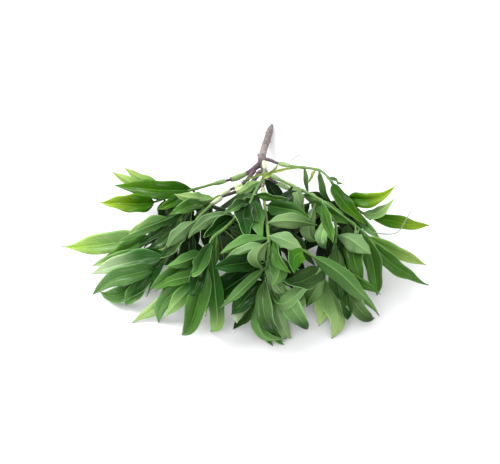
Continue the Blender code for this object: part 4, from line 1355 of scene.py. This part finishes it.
def model_pattern():
    """A flat grid from -1 to 1 both ways, its inner lines drawn in, with its map and thickness."""
    bpy.ops.object.select_all(action="DESELECT")
    sides = 2 * (len(PATTERN_ACROSS) - 1)
    bpy.ops.mesh.primitive_grid_add(x_subdivisions=PATTERN_LENGTHS, y_subdivisions=sides, size=2.0)
    pattern = bpy.context.object
    pattern.name = "pattern_leaf"
    mesh = pattern.data
    for step in range(1, len(PATTERN_ACROSS) - 1):
        even = step / (len(PATTERN_ACROSS) - 1)
        bpy.ops.object.mode_set(mode="EDIT")
        bpy.ops.mesh.select_mode(type="VERT")
        bpy.ops.mesh.select_all(action="DESELECT")
        bpy.ops.object.mode_set(mode="OBJECT")
        for point in mesh.vertices:
            point.select = abs(abs(point.co.y) - even) < SAME_LINE
        bpy.ops.object.mode_set(mode="EDIT")
        bpy.ops.transform.resize(value=(1.0, PATTERN_ACROSS[step] / even, 1.0),
                                 center_override=(0, 0, 0))
        bpy.ops.object.mode_set(mode="OBJECT")
    mesh.uv_layers.remove(mesh.uv_layers[0])
    own_map = mesh.uv_layers.new(name=MAP_NAME)
    for corner in mesh.loops:
        point = mesh.vertices[corner.vertex_index].co
        own_map.data[corner.index].uv = ((point.x + 1) / 2, (point.y + 1) / 2)
    thick = pattern.vertex_groups.new(name="thick")
    for point in mesh.vertices:
        on_rib = 1.0 if abs(point.co.y) < ON_MIDRIB else 0.0
        in_stalk = max(0.0, 1.0 - (point.co.x + 1) / 2 / (STALK_PART * STALK_FADE))
        share = max(on_rib * (1 - point.co.x) / 2, in_stalk)
        thick.add([point.index], THIN_SHARE + (1 - THIN_SHARE) * share, "REPLACE")
    return pattern


PATTERN = model_pattern()
print("pattern leaf:", len(PATTERN.data.vertices), "points,", len(PATTERN.data.polygons), "faces")

# %% [markdown]
# Lay the pattern along each midrib
#
# Every leaf bends its own way, and there are far too many to pose by hand. A function carries each
# point of a copy to its place: along the midrib, out to the side by the blade's half width, and up
# by the fold. The halves are a little full between midrib and edge. Each leaf then draws how deep
# it folds, how far each half rolls, how its edge waves, how its midrib sways and how its tip curls.
# Where a leaf reaches the table it lies on it.

# %% Lay one leaf
FULLNESS = 0.25
FOLD_RANGE = (0.8, 2.5)
ROLL = 0.35
TIP_CURL = 0.8
LEAST_HALF_WIDTH = 0.22
WAVE_HEIGHT = (0.5, 1.6)
SWAY = 1.5
EDGE_SWING = 0.09
MORE_SWINGS = 0.5
WAVES = (1.4, 2.6)
ALL_PHASES = (0, 6.3)
CURL_FROM, CURL_OVER = 0.7, 0.3
TABLE_GAP = 0.1


def points_of(mesh):
    """A mesh's points, a row for each."""
    numbers = np.empty(len(mesh.vertices) * 3, np.float32)
    mesh.vertices.foreach_get("co", numbers)
    return numbers.reshape(-1, 3)


def write_tint(mesh, name, values):
    """Write a colour for each point, which the finish reads by its name."""
    layer = mesh.attributes.new(name, "FLOAT_COLOR", "POINT")
    layer.data.foreach_set("color", values.astype(np.float32).ravel())


def lay_leaf(leaf, name, draw):
    """A copy of the pattern that lies along the leaf's midrib, in the frame's metres."""
    copy = PATTERN.copy()
    copy.data = PATTERN.data.copy()
    copy.name = name
    bpy.context.scene.collection.objects.link(copy)
    flat = points_of(copy.data)
    line = np.rint((flat[:, 0] + 1) / 2 * PATTERN_LENGTHS).astype(int)
    parts = [k / PATTERN_LENGTHS for k in range(PATTERN_LENGTHS + 1)]
    frames = leaf_frames(leaf, parts)
    centre = np.array([frame[0] for frame in frames])[line]
    across = np.array([frame[2] for frame in frames])[line]
    outward = np.array([frame[3] for frame in frames])[line]
    half = np.array([max(LEAST_HALF_WIDTH, half_width(t, leaf)) for t in parts])[line]
    side = flat[:, 1]
    fold = math.tan(FOLD) * half * (np.abs(side) + FULLNESS * np.sin(np.pi * np.abs(side)))
    fold = fold * draw.uniform(*FOLD_RANGE)
    roll = np.where(side > 0, draw.uniform(-ROLL, ROLL), draw.uniform(-ROLL, ROLL))
    roll = roll * half * np.abs(side) ** 3
    waves = draw.uniform(*WAVES)
    phase = np.where(side > 0, draw.uniform(*ALL_PHASES), draw.uniform(*ALL_PHASES))
    t = line / PATTERN_LENGTHS
    ends = np.sin(np.pi * t)
    wave = draw.uniform(*WAVE_HEIGHT) * side ** 2 * np.sin(2 * np.pi * waves * t + phase) * ends
    sway = draw.uniform(-SWAY, SWAY) * np.sin(2 * np.pi * t) * ends
    swing = 1 + EDGE_SWING * np.sin(2 * np.pi * (waves + MORE_SWINGS) * t + 2 * phase)
    curl = draw.uniform(-TIP_CURL, TIP_CURL) * np.clip((t - CURL_FROM) / CURL_OVER, 0, 1) ** 2
    lift = fold + roll + wave + curl
    points = centre - across * (side * half * swing + sway)[:, None] + outward * lift[:, None]
    points[:, 2] = np.maximum(points[:, 2], TABLE_GAP + RIB_THICKNESS / 2)
    placed = (points - np.array(ORIGIN)) * MM
    copy.data.vertices.foreach_set("co", placed.astype(np.float32).ravel())
    return copy, t, side


def tint_leaf(copy, t, attribute, tint, tone_and_painted_light):
    """Write a tint that runs from stalk to tip, scaled by the leaf's tone and its painted light and
    shade, as a colour of each point.
    """
    share = np.clip((t - TINT_FROM) / TINT_OVER, 0, 1)[:, None]
    share = share * share * (3 - 2 * share)
    values = (np.array(tint[0]) * (1 - share) + np.array(tint[1]) * share) * tone_and_painted_light[:, None]
    values[:, 3] = 1.0
    write_tint(copy.data, attribute, values)


def dressed_leaf(leaf, letter, inner, glossy, name, draw):
    """One laid leaf with the tints and the gloss of both its sides."""
    copy, t, side = lay_leaf(leaf, name, draw)
    shows_under = math.cos(math.radians(leaf.turn + leaf.twist / 2)) < 0
    # A leaf's tone differs at random; a hidden leaf is also darkened, as painted shade.
    tone_and_painted_light = draw.uniform(*SHADE_RANGE) * (INNER_PAINTED_SHADE if inner else 1.0)
    # One half of the blade is painted a little lighter and the other darker: painted light and shade, as
    # the halves face the light differently.
    tone_and_painted_light = tone_and_painted_light * (1 + draw.uniform(-HALF_PAINTED_LIGHT, HALF_PAINTED_LIGHT) * np.sign(side))
    gloss = copy.data.attributes.new("gloss", "FLOAT", "POINT")
    amount = draw.uniform(*GLOSS_RANGE) + (EXTRA_GLOSS if glossy else 0.0)
    gloss.data.foreach_set("value", np.full(len(t), amount, np.float32))
    upper = DARK_SIDE if shows_under else TINTS[letter]
    under = TINTS[letter] if shows_under else PALE_SIDE
    tint_leaf(copy, t, "upper_tint", upper, tone_and_painted_light)
    tint_leaf(copy, t, "under_tint", under, tone_and_painted_light)
    return copy


print("each leaf draws a fold from", FOLD_RANGE, "times", round(math.degrees(FOLD)), "degrees")

# %% [markdown]
# Give the leaves their thickness, spray by spray
#
# The leaves of one spray are joined into one piece, which then stands for the spray's solid. A
# Solidify modifier gives them their thickness: more along the midrib, which so becomes a ridge on
# the underside. It also puts the second and third material on the underside and on the edge.

# %% Join, thicken and place the leaves
def join_pieces(pieces, name):
    """Several mesh objects as one."""
    bpy.ops.object.select_all(action="DESELECT")
    for piece in pieces:
        piece.select_set(True)
    bpy.context.view_layer.objects.active = pieces[0]
    bpy.ops.object.join()
    pieces[0].name = name
    return pieces[0]


def thicken(piece):
    """Give joined leaves their underside and edge."""
    for material in (LEAF_UPPER, LEAF_UNDER, LEAF_EDGE):
        piece.data.materials.append(material)
    solid = piece.modifiers.new("thickness", "SOLIDIFY")
    solid.thickness = RIB_THICKNESS * MM
    solid.offset = -1.0
    solid.vertex_group = "thick"
    solid.material_offset = 1
    solid.material_offset_rim = 2
    bpy.ops.object.modifier_apply(modifier=solid.name)
    bpy.ops.object.shade_smooth()


def build_leaves(spray_name, leaves):
    """All leaves of a spray as one piece."""
    glossy = spray_name in GLOSSY_SPRAYS
    copies = [dressed_leaf(leaf, letter, inner, glossy, f"{spray_name}_leaf_{k}", tint_draw)
              for k, (leaf, letter, inner) in enumerate(leaves)]
    piece = join_pieces(copies, spray_name.replace("spray", "leaves"))
    thicken(piece)
    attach(piece, "root")
    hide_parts(spray_name)
    return piece


by_spray = {spray.name: [] for spray in SPRAYS}
for index, (name, leaf) in enumerate(layout):
    if leaf is not None:
        inner = index >= len(letters)
        letter = tint_draw.choice(INNER_LETTERS) if inner else letters[index]
        by_spray[name].append((leaf, letter, inner))
for name, leaves in by_spray.items():
    piece = build_leaves(name, leaves)
    print(piece.name, len(leaves), "leaves,", len(piece.data.polygons), "faces")
bpy.data.objects.remove(PATTERN)

# %% [markdown]
# Green stems and their collars
#
# A collar is a slightly swollen cuff on a twig's end. From it the green stem runs out, tapers
# slowly and swells a little at each leaf. A curve object with a round bevel is the natural tool:
# each point of the curve has its own radius. It is then made a mesh.

# %% Tubes along a course
TUBE_ROUNDNESS = 4
SWELL_HEIGHT = 0.45
SWELL_REACH = 1.6


def tube_piece(name, points, radii):
    """A round tube through points of the layout, closed at its ends."""
    bpy.ops.object.select_all(action="DESELECT")
    bpy.ops.curve.primitive_bezier_curve_add()
    curve = bpy.context.object
    curve.name = name
    curve.data.splines.clear()
    line = curve.data.splines.new("POLY")
    line.points.add(len(points) - 1)
    for spot, point, radius in zip(line.points, points, radii):
        spot.co = (*in_metres(point), 1.0)
        spot.radius = radius
    curve.data.bevel_depth = MM
    curve.data.bevel_resolution = TUBE_ROUNDNESS
    curve.data.use_fill_caps = True
    bpy.ops.object.convert(target="MESH")
    bpy.ops.object.shade_smooth()
    return bpy.context.object


def swell(points, radii, joints):
    """Radii with a small swelling next to each place where a leaf leaves."""
    return [radius + sum(SWELL_HEIGHT * math.exp(-((point - joint).length / SWELL_REACH) ** 2)
                         for joint in joints if (point - joint).length < 3 * SWELL_REACH)
            for point, radius in zip(points, radii)]


print("a stem swells by", SWELL_HEIGHT, "mm where a leaf leaves it")

# %% [markdown]
# Stem and collar finish
#
# The stems are an olive green that turns fresher toward their end. The collars are a paler green,
# and on four of the sprays almost whitish. The thin tendrils are grey. The colour of each point is
# worked out from where it lies and is written on the mesh, and the finish only adds mottle.

# %% Stem finish
def finish_stem():
    """The stem's own tint with a fine mottle, which also makes the surface uneven."""
    material, tree, shader = start_material("green_stem")
    place = add_node(tree, "ShaderNodeTexCoord").outputs["Object"]
    mottle = use_group(tree, MOTTLE, {"Vector": place, "Scale": 160.0, "Amount": 0.9})
    tint = add_node(tree, "ShaderNodeAttribute", attribute_name="stem_tint").outputs["Color"]
    toned = blend_colours(tree, 1.0, tint, mottle.outputs["Factor"], "MULTIPLY")
    tree.links.new(toned, shader.inputs["Base Color"])
    uneven = ramp(tree, mottle.outputs["Factor"], 0.8, 1.2, 0.4, 0.58)
    tree.links.new(uneven, shader.inputs["Roughness"])
    bump = add_node(tree, "ShaderNodeBump", {"Height": mottle.outputs["Factor"], "Strength": 0.4,
                                             "Distance": 0.0002})
    tree.links.new(bump.outputs["Normal"], shader.inputs["Normal"])
    return material


STEM_FINISH = finish_stem()
STEM_GREEN = np.array(colour(98, 132, 58))
TWIG_GREEN = np.array(colour(70, 118, 44))
COLLAR_GREEN = np.array(colour(124, 158, 92))
COLLAR_PALE = np.array(colour(196, 212, 166))
TENDRIL_GREY = np.array(colour(132, 138, 126))
PALE_COLLARS = {"spray_mid_left", "spray_low_left", "spray_top", "spray_centre"}
print("stem finish:", STEM_FINISH.name, "with", len(PALE_COLLARS), "pale collars")

# %% [markdown]
# The green stems, piece by piece
#
# Collar and stem are one tube, because the stem grows out of the collar. Side shoots and tendrils
# are thinner tubes that start inside the stem. Three twigs also carry a green sleeve further down,
# as a tube that is a little wider than the twig. For each sleeve its start and end are noted as
# parts of the twig's length, with its radius. All of a spray's tubes are joined, and its leaves and
# its stem together stand for its solid.

# %% Build the stems
STEM_STEPS = 10
WOOD_STEPS = 8
TWIG_GAP = 0.25
TWIG_TIP = 1.15
TWIG_TAPER = 0.7
FINE_TENDRIL = 0.42
COLLAR_FADE = 0.002
FADE_PAST_COLLAR = 0.3
COLLAR_PROFILE = ((0.0, 0.80), (0.03, 0.88), (0.12, 0.92), (0.25, 0.98), (0.4, 1.0), (0.6, 0.95),
                  (0.78, 0.84), (0.9, 0.7))
SLEEVES = {"spray_high_left": (0.36, 0.70, 3.1), "spray_mid_left": (0.42, 0.66, 2.7),
           "spray_low_left": (0.30, 0.50, 2.6)}


def collar_course(spray):
    """Points and radii of the collar, from its mouth to where the stem leaves it."""
    start, end, axis = collar_points(spray)
    length = (end - start).length
    points = [start + axis * length * part for part, share in COLLAR_PROFILE]
    return points, [COLLAR_RADIUS * share for part, share in COLLAR_PROFILE]


def twig_course(spray):
    """A twig's points and radii, up to its collar's mouth."""
    start, _, axis = collar_points(spray)
    places = TWIGS[spray.name]
    near_collar = [start - axis * TWIG_STRAIGHT, start - axis * TWIG_GAP]
    points = smooth_course([sight(*place[:3]) for place in places] + near_collar, WOOD_STEPS)
    last = len(points) - 1
    first = places[0][3]
    thinner = TWIG_END_RADIUS * TWIG_TIP - first
    return points, [first + thinner * min(1.0, k / (last * TWIG_TAPER)) for k in range(last + 1)]


def sleeve_tube(spray):
    """A green sleeve that sits further down a twig, with soft ends."""
    from_part, to_part, most = SLEEVES[spray.name]
    points, _ = twig_course(spray)
    last = len(points) - 1
    first, end = round(from_part * last), round(to_part * last)
    covered = points[first:end + 1]
    steps = len(covered) - 1
    radii = [most * (0.8 + 0.2 * math.sin(math.pi * k / steps)) for k in range(steps + 1)]
    return tube_piece("sleeve", covered, radii)


def tint_stem(piece, spray, course):
    """Write the stem's colour on each point: collar, then stem, then greener toward the end."""
    _, end, axis = collar_points(spray)
    line = np.array([in_metres(point) for point in course])
    co = points_of(piece.data)
    nearest = np.argmin(((co[:, None, :] - line[None, :, :]) ** 2).sum(axis=2), axis=1)
    part = (nearest / (len(line) - 1))[:, None]
    collar = COLLAR_PALE if spray.name in PALE_COLLARS else COLLAR_GREEN
    before = ((co - np.array(in_metres(end))) @ np.array(axis))[:, None]
    on_collar = np.clip(-before / COLLAR_FADE + FADE_PAST_COLLAR, 0, 1)
    values = (STEM_GREEN * (1 - part) + TWIG_GREEN * part) * (1 - on_collar) + collar * on_collar
    if spray.tendril:
        thin = np.array([in_metres(sight(*place)) for place in spray.tendril[1:]])
        to_thin = np.linalg.norm(co[:, None, :] - thin[None], axis=2).min(axis=1)
        to_line = np.linalg.norm(co[:, None, :] - line[None], axis=2).min(axis=1)
        values = np.where((to_thin < to_line)[:, None], TENDRIL_GREY, values)
    write_tint(piece.data, "stem_tint", values)


def build_stem(spray, leaves):
    """A spray's collar, stem, side shoots and tendril as one piece."""
    _, end, _ = collar_points(spray)
    joints = [leaf.base for leaf, letter, inner in leaves]
    collar, collar_radii = collar_course(spray)
    course = smooth_course([end, *(sight(*place) for place in spray.stem)], STEM_STEPS)
    radii = swell(course, tapered(STEM_RADIUS, STEM_END_RADIUS, len(course)), joints)
    parts = [tube_piece("stem", collar + course, collar_radii + radii)]
    for places in spray.shoots:
        shoot = smooth_course([sight(*place) for place in places], STEM_STEPS)
        sizes = tapered(SHOOT_RADIUS, STEM_END_RADIUS, len(shoot))
        parts.append(tube_piece("shoot", shoot, swell(shoot, sizes, joints)))
    if spray.tendril:
        tendril = smooth_course([sight(*place) for place in spray.tendril], STEM_STEPS)
        parts.append(tube_piece("tendril", tendril, [FINE_TENDRIL] * len(tendril)))
    if spray.name in SLEEVES:
        parts.append(sleeve_tube(spray))
    piece = join_pieces(parts, spray.name.replace("spray", "stem"))
    tint_stem(piece, spray, course)
    piece.data.materials.clear()
    piece.data.materials.append(STEM_FINISH)
    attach(piece, "root")
    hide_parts(spray.name)
    return piece


for spray in SPRAYS:
    piece = build_stem(spray, by_spray[spray.name])
    print(piece.name, len(piece.data.polygons), "faces")

# %% [markdown]
# The woody stem
#
# The wood is one grown piece: a main stem with a slanting cut, knots, and twigs that part from it.
# Tubes along the same courses as the solid are joined and remeshed, which melts them together at
# the forks as wood does. A smooth pass rounds the forks, and a displacement gives the bark its
# uneven surface. A knot is noted by its part of the stem's length, its angle about the stem and its
# size.

# %% Build the wood
WOOD_VOXEL = 0.45
KNOTS = ((0.30, 40, 1.7), (0.42, 200, 1.2), (0.55, 95, 1.3), (0.74, 10, 2.0), (0.86, 150, 2.2),
         (0.93, 60, 1.9))
KNOT_DEPTH = 0.35
BARK_SIZE = 0.0028
BARK_HEIGHT = 0.00026


def knot_piece(points, radii, part, angle, size):
    """A low round knot, half sunk in the stem's side."""
    k = round(part * (len(points) - 1))
    along = tangents(points)[k]
    side = along.cross(Vector((0, 0, 1))).normalized()
    out = side * math.cos(math.radians(angle)) + side.cross(along) * math.sin(math.radians(angle))
    centre = points[k] + out * (radii[k] - KNOT_DEPTH * size)
    bpy.ops.mesh.primitive_uv_sphere_add(segments=16, ring_count=10, radius=size * MM,
                                         location=in_metres(centre))
    knot = bpy.context.object
    bpy.ops.object.transform_apply(location=True, rotation=True, scale=True)
    return knot


def build_wood():
    """The whole woody stem as one piece."""
    points, radii = main_course(WOOD_STEPS)
    parts = [tube_piece("main_stem", points, radii)]
    parts += [tube_piece("twig", *twig_course(spray)) for spray in SPRAYS]
    parts += [knot_piece(points, radii, *knot) for knot in KNOTS]
    wood = join_pieces(parts, "wood")
    wood.data.remesh_voxel_size = WOOD_VOXEL * MM
    bpy.context.view_layer.objects.active = wood
    bpy.ops.object.voxel_remesh()
    smooth = wood.modifiers.new("rounded_forks", "SMOOTH")
    smooth.factor = 0.5
    smooth.iterations = 4
    bpy.ops.object.modifier_apply(modifier=smooth.name)
    clouds = bpy.data.textures.new("bark_clouds", "CLOUDS")
    clouds.noise_scale = BARK_SIZE
    bark = wood.modifiers.new("bark", "DISPLACE")
    bark.texture = clouds
    bark.strength = BARK_HEIGHT
    bark.mid_level = 0.5
    bpy.ops.object.modifier_apply(modifier=bark.name)
    bpy.data.textures.remove(clouds)
    for point in wood.data.vertices:
        point.co.z = max(point.co.z, TABLE_GAP * MM)
    bpy.ops.object.shade_smooth()
    return wood


WOOD = build_wood()
print("wood:", len(WOOD.data.polygons), "faces")

# %% [markdown]
# Bark
#
# The main stem is a matt grey-brown with fine lengthwise cracks and small pale pores, and a paler
# band before the fork. From the fork on, the bark is a dark purple brown that turns almost black
# toward the twigs' ends, but a light brown on the middle twig. Where a point lies along the stem or
# along its twig decides its colour, which is written on the mesh.

# %% Bark finish
BARK_GREY = np.array(colour(132, 122, 119))
BARK_PALE = np.array(colour(176, 166, 158))
BARK_PURPLE = np.array(colour(106, 88, 98))
BARK_BLACK = np.array(colour(50, 46, 49))
BARK_BROWN = np.array(colour(158, 136, 126))
CRACK_DARK = colour(60, 50, 46)
PORE_PALE = colour(188, 178, 166)
PALE_BAND = (0.55, 0.82)
BAND_FADE = 0.06
BAND_SHARE = 0.7
STEM_REACH, REACH_FADE = 0.0038, 0.0012
FORK_FROM, FORK_OVER = 0.86, 0.1
MIDDLE_SPRAY = "spray_centre"


def tint_wood(wood):
    """Write the bark's colour on each point."""
    points, _ = main_course(WOOD_STEPS)
    line = np.array([in_metres(point) for point in points])
    twigs = [np.array([in_metres(point) for point in twig_course(spray)[0]]) for spray in SPRAYS]
    far_out = np.concatenate([np.linspace(0, 1, len(twig)) for twig in twigs])
    brown = np.concatenate([np.full(len(twig), spray.name == MIDDLE_SPRAY)
                            for twig, spray in zip(twigs, SPRAYS)])
    co = points_of(wood.data)
    to_main = np.linalg.norm(co[:, None, :] - line[None], axis=2)
    part = (np.argmin(to_main, axis=1) / (len(line) - 1))[:, None]
    nearest = np.argmin(np.linalg.norm(co[:, None, :] - np.concatenate(twigs)[None], axis=2), axis=1)
    out = far_out[nearest][:, None]
    band = (np.clip((part - PALE_BAND[0]) / BAND_FADE, 0, 1)
            * np.clip((PALE_BAND[1] - part) / BAND_FADE, 0, 1))
    stem = BARK_GREY * (1 - BAND_SHARE * band) + BARK_PALE * BAND_SHARE * band
    thin_end = np.where(brown[nearest][:, None], BARK_BROWN, BARK_BLACK)
    twig = BARK_PURPLE * (1 - out) + thin_end * out
    near_twig = np.clip((to_main.min(axis=1) - STEM_REACH) / REACH_FADE, 0, 1)[:, None]
    near_twig = np.maximum(near_twig, np.clip((part - FORK_FROM) / FORK_OVER, 0, 1))
    write_tint(wood.data, "bark_tint", stem * (1 - near_twig) + twig * near_twig)


def finish_bark():
    """Matt bark with lengthwise cracks, pores and mottle."""
    material, tree, shader = start_material("bark")
    place = add_node(tree, "ShaderNodeTexCoord").outputs["Object"]
    mottle = use_group(tree, MOTTLE, {"Vector": place, "Scale": 220.0, "Amount": 1.1})
    long_map = add_node(tree, "ShaderNodeMapping", {"Vector": place, "Scale": (900.0, 140.0, 900.0)})
    cracks = noise(tree, long_map.outputs[0], 1.0, 4.0)
    pores = add_node(tree, "ShaderNodeTexVoronoi", {"Vector": place, "Scale": 420.0})
    tint = add_node(tree, "ShaderNodeAttribute", attribute_name="bark_tint").outputs["Color"]
    toned = blend_colours(tree, 1.0, tint, mottle.outputs["Factor"], "MULTIPLY")
    in_crack = ramp(tree, cracks, 0.42, 0.6, 0.55, 0.0)
    cracked = blend_colours(tree, in_crack, toned, CRACK_DARK)
    in_pore = ramp(tree, pores.outputs["Distance"], 0.1, 0.22, 0.5, 0.0)
    pored = blend_colours(tree, in_pore, cracked, PORE_PALE)
    tree.links.new(pored, shader.inputs["Base Color"])
    tree.links.new(ramp(tree, cracks, 0.3, 0.7, 0.72, 0.9), shader.inputs["Roughness"])
    bump = add_node(tree, "ShaderNodeBump", {"Height": cracks, "Strength": 0.6, "Distance": 0.0004})
    tree.links.new(bump.outputs["Normal"], shader.inputs["Normal"])
    return material


tint_wood(WOOD)
WOOD.data.materials.clear()
WOOD.data.materials.append(finish_bark())
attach(WOOD, "root")
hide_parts("woody_stem")
print("the wood is dressed")
